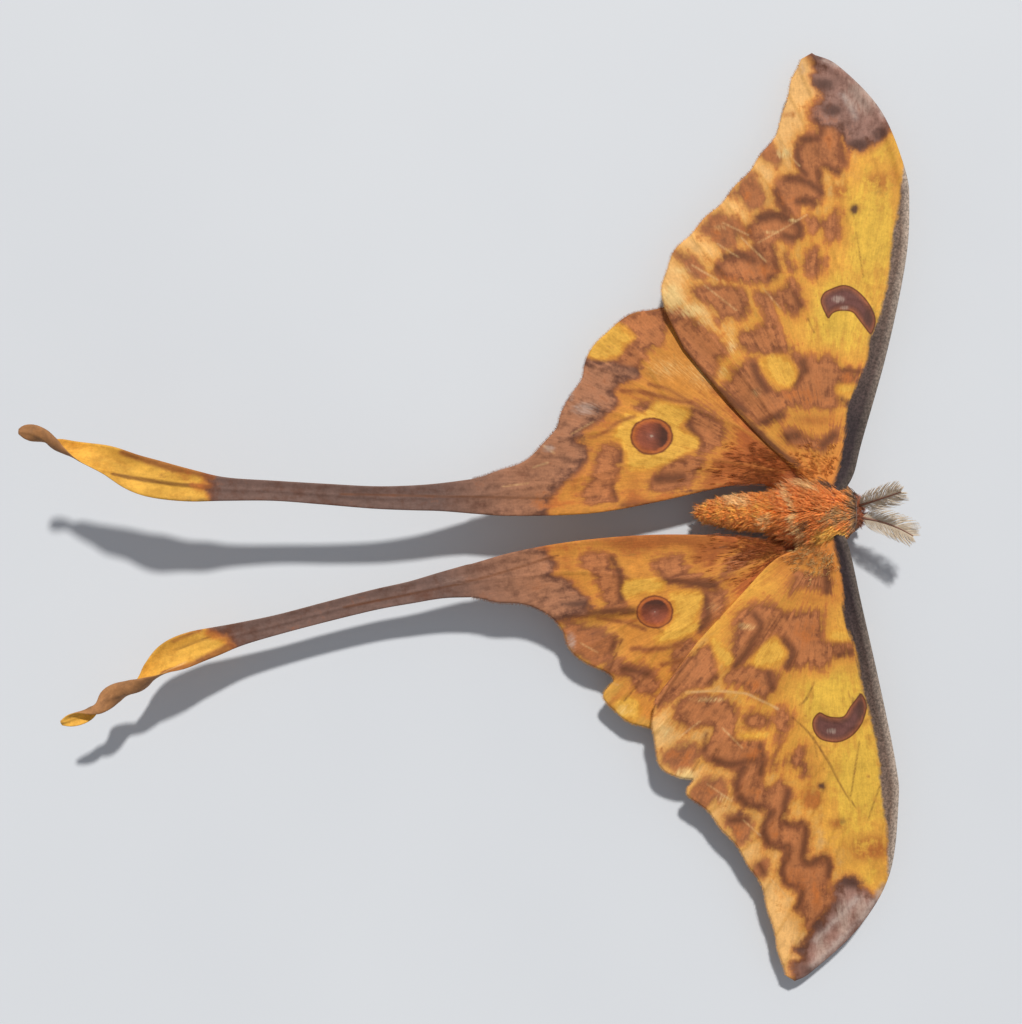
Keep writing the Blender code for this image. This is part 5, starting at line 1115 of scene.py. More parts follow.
def tail_rows(side, sign, start):
    """Rows of points across the tail: flat places, places on its middle surface, ways out of the
    face, and distances from the middle line and to the edge."""
    line = smooth_line((start, *TAILS[side]), 8)
    length = np.hypot(*np.diff(line[:, :2], axis=0).T).sum()
    stations = along_line(line, np.linspace(0, 1, round(length / TAIL_STEP) + 1))[1:]
    path = stations[:, :3]
    ahead = unit(np.gradient(path, axis=0))
    across = unit(np.cross((0.0, 0.0, 1.0), ahead))
    up = np.cross(ahead, across)
    roll = np.radians(stations[:, 4])[:, None]
    face = np.cos(roll) * up - np.sin(roll) * across
    beside = np.cos(roll) * across + np.sin(roll) * up
    share = np.linspace(-1, 1, TAIL_COLUMNS) * sign
    half = stations[:, 3] / 2
    settle = fade(np.arange(len(path)) * TAIL_STEP, 0, 6)
    curl = np.radians(np.maximum(stations[:, 5] * settle, 1.0))
    bend = curl[:, None] * share[None, :]
    radius = (half / curl)[:, None]
    off = radius * np.sin(bend)
    lift = radius * (0.5 + 0.5 * np.cos(curl)[:, None] - np.cos(bend))
    flutter = TAIL_FLUTTER * np.sin(stations[:, :1] * 0.9 + share[None, :] * 1.6) * settle[:, None]
    lift = lift + flutter * fade(-stations[:, :1], 74, 80)
    flat_off = half[:, None] * share[None, :]
    spots = path[:, None, :] + off[..., None] * beside[:, None, :] + lift[..., None] * face[:, None, :]
    flat = np.stack((np.broadcast_to(path[:, :1], off.shape), path[:, 1:2] - flat_off), axis=2)
    faces = (np.cos(bend)[..., None] * face[:, None, :] - np.sin(bend)[..., None] * beside[:, None, :])
    return (flat.reshape(-1, 2), spots.reshape(-1, 3), faces.reshape(-1, 3),
            np.abs(flat_off).ravel(), (half[:, None] - np.abs(flat_off)).ravel())


def nearest_to(spots, plan):
    """The number of the plan's nearest point to each spot."""
    return np.array([np.hypot(*(plan - spot).T).argmin() for spot in spots])


def strip_triangles(rows):
    """Triangles between rows of point numbers, facing the way that the plan's triangles do."""
    a, b, c, d = rows[:-1, :-1], rows[:-1, 1:], rows[1:, 1:], rows[1:, :-1]
    first = np.stack((a, b, c), axis=2).reshape(-1, 3)
    second = np.stack((a, c, d), axis=2).reshape(-1, 3)
    return np.vstack((first, second))


hind_scales = scale_material("hindwing_chitin_scales", "#B8622A", "#D68C38", "#DDA246", 15.0, 1.2,
                             ("#AC7454", "#735850"))
for side, sign in (("left", 1), ("right", -1)):
    shape = HINDWINGS[side]
    outer = smooth_line(shape["outer"])
    leading = even_points(smooth_line(shape["leading"]), WING_STEP)
    margin = even_points(scalloped(outer, HINDWING_SCALLOPS, sign), WING_STEP)
    inner = even_points(smooth_line(shape["inner"]), WING_STEP)
    cut = np.linspace(shape["outer"][-1], shape["inner"][0], TAIL_COLUMNS)
    rim = np.vstack((leading, margin[:-1], cut, inner[1:]))
    veins = hindwing_veins(sign, shape)
    plan, triangles = fill_plan(rim, WING_STEP)
    first = nearest_to(cut, plan)
    start = (TAIL_START, cut[:, 1].mean(), hindwing_height(side, cut.mean(axis=0)[None])[0],
             abs(cut[-1, 1] - cut[0, 1]), 0.0, 0.0)
    flat, middle, face, from_middle, to_edge = tail_rows(side, sign, start)

    spots = np.vstack((plan, flat))
    parts = {"leading": leading, "outer": margin}
    root = np.array((-2.0, sign * 4.0))
    marks = wing_marks(spots, parts, veins, root, rim, HIND_PATCHES[side], HIND_STROKES[side],
                       HIND_CLOUDS[side])
    tail = slice(len(plan), None)
    marks["lead"][:] = np.maximum(marks["lead"], 2.0)
    marks["vein"][tail] = from_middle
    marks["edge"][tail] = to_edge
    cut_gap = gap_to_line(plan, cut)
    marks["edge"][:len(plan)] = np.minimum(
        gap_to_line(plan, np.vstack((leading, margin))[::2]), gap_to_line(plan, inner[::2]))
    x, y, length, width = EYE_SPOTS[side]
    away = (spots - (x, y)) / (length, width)
    marks["ring"] = np.hypot(*away.T)
    marks["ring_side"] = away[:, 0] if side == "left" else away[:, 1]
    sag, half = relief(marks, 0.0)
    sag[tail] = 0.0
    sag[:len(plan)] *= fade(cut_gap, 0.0, 3.0)
    sheet_middle = np.column_stack((plan, hindwing_height(side, plan) + sag[:len(plan)]))
    points = np.vstack((sheet_middle, middle))
    outward = np.vstack((np.tile((0.0, 0.0, 1.0), (len(plan), 1)), face))

    rows = np.vstack((first, len(plan) + np.arange(len(flat)).reshape(-1, TAIL_COLUMNS)))
    strip = strip_triangles(rows)
    if sign > 0:
        strip = strip[:, ::-1]
    sheet = np.vstack((triangles, strip))
    points, faces = two_faces(points, sheet, outward * half[:, None])
    marks = both_faces(marks)
    end_under = (marks["under"] > 0.5) & (np.tile(spots[:, 0], 2) < SPOON_START)
    marks["brown"][end_under] = 0.7
    marks["dark"][end_under] = -0.1
    marks["yellow"][end_under] = -FAR
    make_piece("hindwing_" + side + "_scaled", points, faces, hind_scales, marks, "hindwing",
               ("hindwing_" + side, "tail_" + side, "tail_end_" + side))
    wings["hindwing_" + side] = (sheet_middle, marks, margin, root)

# The body: a skin of thin, jointed cuticle over thorax, abdomen, head and legs, hidden under long
# pile nearly everywhere. It is one closed skin, fused from its rounded parts as the real one is
# grown, and it lies as deep under the solids' surface as the pile is thick.
# Stations: x, y, height of the middle, half width, half height
THORAX = ((-5.1, 0, 4.5, 1.8, 1.4), (-4.0, 0, 4.6, 2.5, 2.0), (-2.6, 0, 4.9, 3.1, 2.6),
          (-0.6, 0, 5.0, 3.5, 3.0), (1.4, 0, 5.1, 3.5, 2.9), (2.7, 0, 5.6, 3.1, 2.3),
          (3.7, 0, 6.0, 2.6, 1.4), (4.3, 0, 6.2, 1.5, 0.7))
ABDOMEN = ((-4.2, 0, 4.5, 1.9, 1.6), (-5.8, 0, 4.5, 2.2, 1.9), (-8.6, 0, 4.3, 2.0, 1.9),
           (-11.6, 0, 3.9, 1.5, 1.6), (-13.6, 0, 3.6, 0.95, 1.0), (-14.8, 0, 3.3, 0.35, 0.4))
HEAD = ((2.2, 0, 4.0, 1.1, 1.1), (3.0, 0, 3.8, 1.6, 1.45), (4.1, 0, 3.7, 1.7, 1.5),
        (5.0, 0, 3.7, 1.25, 1.15), (5.45, 0, 3.65, 0.5, 0.5))
PALP = ((4.5, 0.5, 2.9, 0.28, 0.3), (5.1, 0.6, 2.75, 0.32, 0.34), (5.7, 0.7, 2.75, 0.26, 0.28),
        (6.0, 0.75, 2.78, 0.12, 0.12))
LEGS = {
    "front": ((2.2, 1.4, 3.4), (3.3, 5.0, 3.3), (2.4, 8.4, 1.3), (2.0, 12.2, 0.3)),
    "middle": ((-0.8, 1.6, 3.2), (-2.4, 7.2, 3.3), (-3.2, 12.2, 1.2), (-4.0, 16.8, 0.3)),
    "hind": ((-2.4, 1.2, 3.2), (-8.4, 6.0, 2.9), (-14.4, 8.8, 1.0), (-19.6, 10.2, 0.3)),
}
FOOT_JOINTS = 5
ABDOMEN_RING = 1.5
RING_GROOVE = 0.05
BODY_SIDES = 24
LEG_SIDES = 12
SKIN_VOXEL = 0.14


def tube_frame(stations, step):
    """Even stations along a tube of oval section, with their directions."""
    line = smooth_line(stations, 10)
    run = np.concatenate(((0,), np.cumsum(np.linalg.norm(np.diff(line[:, :3], axis=0), axis=1))))
    reach = np.linspace(0, run[-1], max(3, round(run[-1] / step)) + 1)
    even = np.stack([np.interp(reach, run, column) for column in line.T], axis=1)
    ahead = unit(np.gradient(even[:, :3], axis=0))
    across = unit(np.cross((0.0, 0.0, 1.0), ahead))
    up = np.cross(ahead, across)
    return {"spots": even[:, :3], "ahead": ahead, "across": across, "up": up,
            "wide": even[:, 3], "tall": even[:, 4]}


def loft(frame_of, sides):
    """A closed tube over a frame, with both ends capped."""
    angle = np.arange(sides) * 2 * np.pi / sides
    ring = (np.cos(angle)[None, :, None] * (frame_of["wide"][:, None] * frame_of["across"])[:, None]
            + np.sin(angle)[None, :, None] * (frame_of["tall"][:, None] * frame_of["up"])[:, None])
    points = (frame_of["spots"][:, None, :] + ring).reshape(-1, 3)
    count = len(frame_of["spots"])
    number = np.arange(count * sides).reshape(count, sides)
    turned = np.roll(number, -1, axis=1)
    a, b, c, d = number[:-1], turned[:-1], turned[1:], number[1:]
    faces = [np.stack((a, b, c), axis=2).reshape(-1, 3), np.stack((a, c, d), axis=2).reshape(-1, 3)]
    points = np.vstack((points, frame_of["spots"][:1], frame_of["spots"][-1:]))
    first, last = count * sides, count * sides + 1
    faces.append(np.column_stack((turned[0], number[0], np.full(sides, first))))
    faces.append(np.column_stack((number[-1], turned[-1], np.full(sides, last))))
    return points, np.vstack(faces)


def gather(pieces):
    """Several meshes as one list of points and one of triangles."""
    points, faces, count = [], [], 0
    for spots, triangles in pieces:
        points.append(spots)
        faces.append(triangles + count)
        count += len(spots)
    return np.vstack(points), np.vstack(faces)


def fused(points, faces, voxel, smoothing):
    """One closed surface round meshes that overlap, smoothed a little."""
    mesh = bpy.data.meshes.new("parts")
    mesh.from_pydata(points.tolist(), [], faces.tolist())
    holder = bpy.data.objects.new("parts", mesh)
    bpy.context.scene.collection.objects.link(holder)
    remesh = holder.modifiers.new("fuse", "REMESH")
    remesh.mode = "VOXEL"
    remesh.voxel_size = voxel
    smooth = holder.modifiers.new("smooth", "SMOOTH")
    smooth.factor = 0.5
    smooth.iterations = smoothing
    made = holder.evaluated_get(bpy.context.evaluated_depsgraph_get()).to_mesh()
    made.calc_loop_triangles()
    spots = np.empty(len(made.vertices) * 3, np.float32)
    made.vertices.foreach_get("co", spots)
    triangles = np.empty(len(made.loop_triangles) * 3, np.int32)
    made.loop_triangles.foreach_get("vertices", triangles)
    bpy.data.objects.remove(holder, do_unlink=True)
    return spots.reshape(-1, 3).astype(float), triangles.reshape(-1, 3)


def leg_stations(places, sign):
    """Thigh, shin and a foot of five joints that lies along the floor."""
    root, knee, shin_end, foot_end = (np.array((x, sign * y, z)) for x, y, z in places)
    stations = []
    for a, b, shares, sizes in ((root, knee, (0.0, 0.3, 0.7, 0.95), (0.45, 0.62, 0.56, 0.34)),
                                (knee, shin_end, (0.06, 0.4, 0.8, 1.0), (0.34, 0.42, 0.40, 0.28))):
        for share, size in zip(shares, sizes):
            stations.append((*(a + (b - a) * share), size, size))
    for joint in range(FOOT_JOINTS):
        for share, size in ((0.15, 0.20), (0.75, 0.26)):
            along = (joint + share) / FOOT_JOINTS
            spot = shin_end + (foot_end - shin_end) * along
            spot[2] = max(size, shin_end[2] + (size - shin_end[2]) * min(1.0, along * 2.2))
            stations.append((*spot, size, size))
    return stations


body_frames = {name: tube_frame(stations, 0.2) for name, stations in
               (("thorax", THORAX), ("abdomen", ABDOMEN), ("head", HEAD))}
leg_frames = {}
for side, sign in (("left", 1), ("right", -1)):
    body_frames["palp_" + side] = tube_frame([(x, sign * y, z, w, t) for x, y, z, w, t in PALP], 0.1)
    for place, places in LEGS.items():
        leg_frames[place + "_" + side] = tube_frame(leg_stations(places, sign), 0.15)
abdomen = body_frames["abdomen"]
groove = RING_GROOVE * (np.cos(abdomen["spots"][:, 0] * 2 * np.pi / ABDOMEN_RING) - 1)
abdomen["wide"] = np.maximum(abdomen["wide"] + groove, 0.2)
abdomen["tall"] = np.maximum(abdomen["tall"] + groove, 0.2)


def puff(x, y, at_x, at_y, length, width):
    """A soft spot round a place, with its half length and half width."""
    return np.exp(-((x - at_x) / length) ** 2 - ((y - at_y) / width) ** 2)


PALE_TUFTS = (((-3.9, 3.1), (-3.5, 1.2), (-2.9, -0.7), (-1.5, -2.9)),
              ((-3.8, 3.2), (-2.2, 3.0), (-0.7, 2.4)))
WINE_LINES = (((-2.0, 4.2), (-0.1, 3.0), (1.6, 2.6)), ((-4.4, -4.5), (0.0, -4.2), (3.0, -4.0)))


def pile_marks(spots):
    """Strengths of the pile's colours, worked out from the place on the body."""
    x, y, z = spots.T
    flat = spots[:, :2]
    back = fade(z, 4.6, 6.4) * fade(x, -5.2, -4.2)
    pale = np.max([np.exp(-(gap_to_line(flat, line) / 0.55) ** 2) for line in PALE_TUFTS], axis=0)
    wine = np.max([np.exp(-(gap_to_line(flat, line) / 0.4) ** 2) for line in WINE_LINES], axis=0)
    rings = 0.5 + 0.5 * np.cos(x * 2 * np.pi / ABDOMEN_RING + 0.5)
    abdomen_share = fade(-x, 4.3, 5.2)
    collar = fade(x, 3.0, 3.9) * fade(z, 4.7, 5.6)
    side_rim = fade(np.abs(y), 3.3, 4.4) * fade(x, -1.0, 2.0) * fade(z, 4.0, 5.0)
    return {
        "grey": back * np.maximum(0.8 * puff(x, y, 1.6, -0.4, 1.5, 1.2), 0.6 * fade(x, 2.6, 3.6)),
        "pale": np.maximum(back * np.maximum(pale, 0.9 * puff(x, y, 1.8, 3.2, 0.7, 0.5)),
                           abdomen_share * np.maximum(puff(x, y, -9.8, 1.2, 1.8, 0.7),
                                                      puff(x, y, -6.6, -0.9, 1.0, 0.7))),
        "gold": np.maximum(back * puff(x, y, 1.3, -2.5, 1.9, 1.1),
                           abdomen_share * rings * fade(np.abs(y), 2.6, 0.4) * 0.5),
        "dark": np.maximum.reduce((back * puff(x, y, -1.5, -1.15, 0.55, 0.5), back * wine * 0.8,
                                   collar * 0.6, side_rim * 0.6)),
        "rust": np.maximum(abdomen_share, 0.5 * fade(-z, -4.6, -2.0)),
        "rufous": fade(x, 2.6, 3.4) * (1 - fade(z, 4.9, 5.7)),
        "leg": np.maximum(fade(np.abs(y), 4.2, 5.0),
                          fade(-z, -2.4, -1.4) * (1 - abdomen_share * fade(z, 1.6, 2.2))),
    }


# Insect pile: long hair-like scales of dry chitin, as dull as wool, painted darker at the root as shade deep
# in the pile.
# The skin below has the same colours, deeper, with the same painted shade. Each tuft has one tone, as locks
# of fur have.
PILE_COLOURS = (("rust", "#F69E48"), ("gold", "#FCC65C"), ("grey", "#BE925E"),
                ("pale", "#FFCE8C"), ("rufous", "#A4583A"), ("leg", "#6A3626"),
                ("dark", "#5E3C2C"))
PILE_GRAIN = 0.5


def pile_material(name, ground, deep):
    """Pile over a ground colour, darkened towards its roots to the share deep, as painted shade."""
    surface, tree, shader = new_material(name, roughness=0.8, ior=1.5, sheen_weight=0.2,
                                         sheen_roughness=0.4)

    at = {mark: node(tree, "ShaderNodeAttribute", attribute_name=mark).outputs["Fac"]
          for mark in [mark for mark, shade in PILE_COLOURS] + ["shade", "tip"]}
    place = node(tree, "ShaderNodeTexCoord").outputs["Object"]
    noise = node(tree, "ShaderNodeTexNoise", {"Vector": place, "Scale": 1 / (PILE_GRAIN * MM),
                                              "Detail": 3.0, "Roughness": 0.6}).outputs["Fac"]
    shake = node(tree, "ShaderNodeMath", {0: noise, 1: -0.5}, operation="ADD").outputs[0]
    colour = linear(ground)
    for mark, shade in PILE_COLOURS:
        wander = node(tree, "ShaderNodeMath", {0: shake, 1: 0.9, 2: at[mark]},
                      operation="MULTIPLY_ADD").outputs[0]
        colour = layer(tree, colour, wander, 0.25, 0.7, linear(shade))
    for mark, high, least, most, ramp in (("shade", 1.0, 0.95, 1.5, "LINEAR"),
                                          ("tip", 0.55, deep, 1.0, "SMOOTHSTEP")):
        light = node(tree, "ShaderNodeMapRange", {0: at[mark], 2: high, 3: least, 4: most},
                     interpolation_type=ramp).outputs[0]
        colour = node(tree, "ShaderNodeVectorMath", {0: colour, "Scale": light},
                      operation="SCALE").outputs[0]
    colour = layer(tree, colour, at["tip"], 0.6, 1.0, linear("#F4C080"), 0.16, "LINEAR")
    tree.links.new(colour, shader.inputs["Base Color"])
    bump = node(tree, "ShaderNodeBump", {"Strength": 0.5, "Distance": 0.08 * MM, "Height": noise})
    tree.links.new(bump.outputs["Normal"], shader.inputs["Normal"])
    return surface


# the skin's deeper ground and the pile's dark roots are painted shade under the pile
cuticle = pile_material("downy_chitin_cuticle", "#A8642F", 0.55)
pile = pile_material("chitin_pile", "#F39448", 0.86)
parts = [loft(frame_of, BODY_SIDES) for frame_of in body_frames.values()]
parts += [loft(frame_of, LEG_SIDES) for frame_of in leg_frames.values()]
spots, faces = fused(*gather(parts), SKIN_VOXEL, 3)
spots[:, 2] = np.maximum(spots[:, 2], 0.0)
marks = pile_marks(spots)
marks["shade"] = np.full(len(spots), 0.45)
# the skin counts as the pile's roots, so it gets the same painted shade
marks["tip"] = np.full(len(spots), 0.3)
skin_nodes = ["head", "thorax", "abdomen"]
skin_nodes += [f"leg_{place}_{side}" for side in ("left", "right") for place in LEGS]
make_piece("body_skin", spots, faces, cuticle, marks, "body_pile", skin_nodes)

# The pile: long soft tufts that lie backwards over thorax and abdomen, stand out a little at the
# collar, lie forwards on the face and are shortest on the legs and feet. Every hair is a closed
# blade with three sides, rooted in the skin.
HAIR_LEVELS = np.array((0.0, 0.38, 0.72, 1.0))
HAIR_SIZES = np.array((0.8, 1.0, 0.7))
HAIR_POINTS = 10
FLOOR_GAP = 0.02
SEAT_DEPTH = 0.1
BAKE_PATCH = 0.003


def hair_mesh(roots, starts, ends, lengths, widths):
    """Hairs that leave along starts and bend to ends: points, triangles, and each point's level."""
    count = len(roots)
    side = unit(np.cross(starts, ends + (0.013, 0.007, 0.003)))
    flat = np.cross(side, starts)
    t = HAIR_LEVELS[None, :, None]
    spine = roots[:, None] + lengths[:, None, None] * (starts[:, None] * (t - t * t / 2)
                                                       + ends[:, None] * t * t / 2)
    points = np.empty((count, HAIR_POINTS, 3))
    for corner in range(3):
        angle = 2 * math.pi * corner / 3 + math.pi / 2
        out = math.cos(angle) * side + 0.6 * math.sin(angle) * flat
        ring = spine[:, :3] + out[:, None] * (widths[:, None, None] * HAIR_SIZES[None, :, None])
        points[:, corner:9:3] = ring
    points[:, 9] = spine[:, 3]
    faces = []
    for level in (0, 3):
        for a in range(3):
            b = (a + 1) % 3
            faces += [(level + a, level + b, level + b + 3), (level + a, level + b + 3, level + a + 3)]
    faces += [(6, 7, 9), (7, 8, 9), (8, 6, 9), (0, 2, 1)]
    triangles = np.array(faces)[None] + np.arange(count)[:, None, None] * HAIR_POINTS
    levels = np.append(np.repeat(HAIR_LEVELS[:3], 3), 1.0)
    return points.reshape(-1, 3), triangles.reshape(-1, 3), np.tile(levels, count)


def grow_tufts(name, roots, normals, lies, maps, marks, surface, slot, length, width, lift, hairs,
               rng, spread=0.16):
    """Tufts of a few hairs each, which draw together at their tips."""
    count = len(roots)
    each = hairs * HAIR_POINTS
    marks = {key: np.repeat(values, each) for key, values in marks.items()}
    marks["shade"] = np.repeat(np.clip(rng.normal(0.5, 0.2, count), 0, 1), each)
    size = np.repeat(rng.uniform(0.75, 1.15, count) * length, hairs)
    lean = np.repeat(lies + rng.normal(0, 0.14, (count, 3)), hairs, axis=0)
    stand = np.repeat(normals, hairs, axis=0)
    scatter = rng.normal(0, spread, (count * hairs, 3))
    scatter -= (scatter * stand).sum(axis=1)[:, None] * stand
    starts = unit(lean * (1 - lift) + stand * lift + rng.normal(0, 0.08, scatter.shape))
    ends = unit(lean + stand * (lift * 0.25) - scatter * 1.1 / size[:, None])
    points, faces, levels = hair_mesh(np.repeat(roots, hairs, axis=0) + scatter, starts, ends,
                                      size * rng.uniform(0.8, 1.1, len(size)),
                                      width * rng.uniform(0.7, 1.2, len(size)))
    points[:, 2] = np.maximum(points[:, 2], FLOOR_GAP)
    marks["tip"] = levels
    across = np.tile(np.repeat(np.arange(hairs) / hairs, HAIR_POINTS), count) * BAKE_PATCH
    corner = np.repeat(maps, each, axis=0) * (1 - 2 * BAKE_PATCH) + BAKE_PATCH / 2
    bake_map = corner + np.column_stack((across, levels * BAKE_PATCH))
    return make_piece(name, points, faces, surface, marks, slot, bake_map=bake_map)


def places_on(frame_of, count, rng, angles=(0.0, 1.0)):
    """Random places, even by area, on a tube's surface."""
    girth = frame_of["wide"] + frame_of["tall"]
    share = np.cumsum(girth) / girth.sum()
    at = np.interp(rng.uniform(0, 1, count), share, np.arange(len(girth)))
    angle = rng.uniform(*angles, count) * 2 * np.pi
    values = {}
    for key, column in frame_of.items():
        table = column.reshape(len(girth), -1)
        values[key] = np.stack([np.interp(at, np.arange(len(girth)), c) for c in table.T], axis=1)
    out = unit(np.cos(angle)[:, None] * values["across"] / values["wide"]
               + np.sin(angle)[:, None] * values["up"] / values["tall"])
    spots = values["spots"] + (np.cos(angle)[:, None] * values["across"] * values["wide"]
                               + np.sin(angle)[:, None] * values["up"] * values["tall"])
    maps = np.column_stack((at / len(girth), angle / (2 * np.pi)))
    return spots - out * SEAT_DEPTH, out, values["ahead"], maps


# name, part of the body, tufts, length, half width, lift, way along the part, side lean
COATS = (
    ("thorax_pile_under", "thorax", 1700, 1.7, 0.055, 0.55, -0.9, 0.25),
    ("thorax_pile_over", "thorax", 1500, 2.4, 0.05, 0.42, -1.0, 0.3),
    ("abdomen_pile_under", "abdomen", 1700, 1.1, 0.05, 0.35, 1.0, 0.1),
    ("abdomen_pile_over", "abdomen", 1100, 1.5, 0.045, 0.3, 1.0, 0.15),
    ("head_pile", "head", 1100, 1.1, 0.045, 0.6, 0.7, 0.2),
)
BODY_TUFT = 6
SMALL_TUFT = 5
LEG_TUFTS = 420
PALP_TUFTS = 160
for number, (name, part, count, length, width, lift, way, lean) in enumerate(COATS):
    rng = np.random.default_rng(40 + number)
    roots, normals, ahead, maps = places_on(body_frames[part], count, rng)
    side = np.stack((np.zeros(count), np.sign(roots[:, 1]), np.zeros(count)), axis=1)
    grow_tufts(name, roots, normals, ahead * way + side * lean, maps, pile_marks(roots), pile,
               "body_pile", length, width, lift, BODY_TUFT, rng)
for number, (name, frame_of) in enumerate(leg_frames.items()):
    rng = np.random.default_rng(60 + number)
    roots, normals, ahead, maps = places_on(frame_of, LEG_TUFTS, rng)
    thin = fade(roots[:, 2], 0.2, 1.6)
    grow_tufts("leg_pile_" + name, roots, normals, ahead, maps, pile_marks(roots), pile, "leg",
               0.25 + 0.6 * thin, 0.035, 0.35, SMALL_TUFT, rng, spread=0.08)
for number, side in enumerate(("left", "right")):
    rng = np.random.default_rng(70 + number)
    roots, normals, ahead, maps = places_on(body_frames["palp_" + side], PALP_TUFTS, rng)
    grow_tufts("palp_pile_" + side, roots, normals, ahead, maps, pile_marks(roots), pile,
               "body_pile", 0.6, 0.035, 0.35, SMALL_TUFT, rng, spread=0.06)

# The claws: two to a foot, hooked, of dark hard chitin as shiny as horn, on the end of the last
# joint. Each stands on its tip.
# Stations: way along the foot, way to the side, height, half width
CLAW = ((-0.1, 0.04, 0.24, 0.08), (0.2, 0.10, 0.30, 0.08), (0.45, 0.17, 0.20, 0.05),
        (0.58, 0.20, 0.05, 0.012))
claw_chitin, tree, shader = new_material("dark_claw_chitin", roughness=0.3, ior=1.56)
place = node(tree, "ShaderNodeTexCoord").outputs["Object"]
grain = node(tree, "ShaderNodeTexNoise", {"Vector": place, "Scale": 1 / (0.1 * MM)}).outputs["Fac"]
tone = node(tree, "ShaderNodeMix", {0: grain, 6: linear("#24140E"), 7: linear("#4E2E1E")},
            data_type="RGBA").outputs[2]
tree.links.new(tone, shader.inputs["Base Color"])
for name, frame_of in leg_frames.items():
    end, way = frame_of["spots"][-1] * (1, 1, 0), unit(frame_of["ahead"][-1] * (1, 1, 0))
    beside = np.array((-way[1], way[0], 0.0))
    claws = []
    for turn in (-1, 1):
        stations = [(*(end + along * way + turn * apart * beside + (0, 0, height)), half, half)
                    for along, apart, height, half in CLAW]
        claws.append(loft(tube_frame(stations, 0.05), 8))
    make_piece("claws_" + name, *gather(claws), claw_chitin, {}, "leg")

# Hair over the wings' roots: long, loose, hair-like scales that stream from the wings' bases, in the
# wing's own colours, so that no joint shows between wing and body. The right forewing has a fluffy
# yellow tuft at its base.
# wing, tufts, length, reach of the hair, height over the wing, half width, lift
ROOT_HAIR = (
    ("hindwing_left", 1100, 2.4, 5.5, 0.05, 0.026, 0.05),
    ("hindwing_right", 1100, 2.4, 5.5, 0.05, 0.026, 0.05),
    ("forewing_left", 420, 1.3, 3.4, 0.12, 0.028, 0.1),
    ("forewing_right", 520, 1.2, 3.4, 0.12, 0.032, 0.22),
)
for number, (name, count, length, reach, height, width, lift) in enumerate(ROOT_HAIR):
    rng = np.random.default_rng(90 + number)
    middle, marks, margin, root = wings[name]
    away = np.hypot(*(middle[:, :2] - root).T)
    body = 1 - fade(np.abs(middle[:, 1]), 4.5, 10.0)
    weight = np.exp(-(away / reach) ** 2) * body * fade(away, 0.2, 1.2) * (middle[:, 0] < 2.0)
    weight = weight * fade(marks["lead"][:len(middle)], 1.6, 2.4)
    chosen = rng.choice(len(middle), count, p=weight / weight.sum())
    roots = middle[chosen] + np.column_stack((rng.normal(0, 0.15, (count, 2)), np.full(count, height)))
    lies = unit(np.column_stack((roots[:, :2] - root, np.zeros(count)))) * 0.6 + (-0.7, 0.0, 0.03)
    tones = {key: values[chosen].copy() for key, values in marks.items() if key not in ("shade", "tip")}
    for mark in ("brown", "dark", "blush", "line", "crease_shade"):
        tones[mark] = np.full(count, -FAR)
    tones["dusk"] *= 0.0
    tones["rust"] = np.maximum(tones["rust"], rng.uniform(0, 0.5, count))
    tones["ember"] = np.maximum(tones["ember"] * 0.5, rng.uniform(-0.3, 0.3, count))
    tones["fan"] = tones["fan"] + rng.normal(0, 6.0, count)
    if name == "forewing_right":
        tones["worn"] = rng.uniform(0.3, 1.0, count)
    size = length * (0.5 + 0.5 * (1 - fade(away[chosen], 1.0, reach)))
    grow_tufts(name + "_root_hair", roots, np.tile((0.0, 0.0, 1.0), (count, 1)), lies,
               roots[:, :2] / 200 + 0.5, tones, fore_scales if "fore" in name else hind_scales,
               name.split("_")[0], size, width, lift, SMALL_TUFT, rng)

# The fringes: one row of long, hair-like scales along each outer margin, coloured as the wing is
# beside them.
FRINGE_STEP = 0.07
FRINGE_LENGTH = 0.42
FRINGE_HALF = 0.035
FRINGE_SEAT = 0.12
for number, (name, (middle, marks, margin, root)) in enumerate(wings.items()):
    rng = np.random.default_rng(110 + number)
    roots = even_points(margin, FRINGE_STEP)[2:-2]
    nearest = nearest_to(roots, middle[:, :2])
    way = np.gradient(roots, axis=0)
    outward = unit(np.column_stack((way[:, 1], -way[:, 0], np.zeros(len(way)))))
    outward *= np.sign(((roots - middle[:, :2].mean(axis=0)) * outward[:, :2]).sum(axis=1).sum())
    count = len(roots)
    starts = unit(outward + rng.normal(0, 0.12, (count, 3)))
    ends = unit(outward + rng.normal(0, 0.3, (count, 3)) * (1.0, 1.0, 0.4))
    seats = np.column_stack((roots, middle[nearest, 2])) - outward * FRINGE_SEAT
    points, faces, levels = hair_mesh(seats, starts, ends, FRINGE_LENGTH * rng.uniform(0.7, 1.1, count),
                                      FRINGE_HALF * rng.uniform(0.8, 1.2, count))
    tones = {key: np.repeat(values[nearest], HAIR_POINTS) for key, values in marks.items()}
    bake_map = np.column_stack((np.arange(count) / count, np.full(count, 0.5)))
    bake_map = np.repeat(bake_map, HAIR_POINTS, axis=0)
    bake_map = bake_map * (1 - 2 * BAKE_PATCH) + np.column_stack((levels, levels)) * BAKE_PATCH
    slot = name.split("_")[0]
    make_piece(name + "_fringe", points, faces, fore_scales if slot == "forewing" else hind_scales,
               tones, slot, bake_map=bake_map)

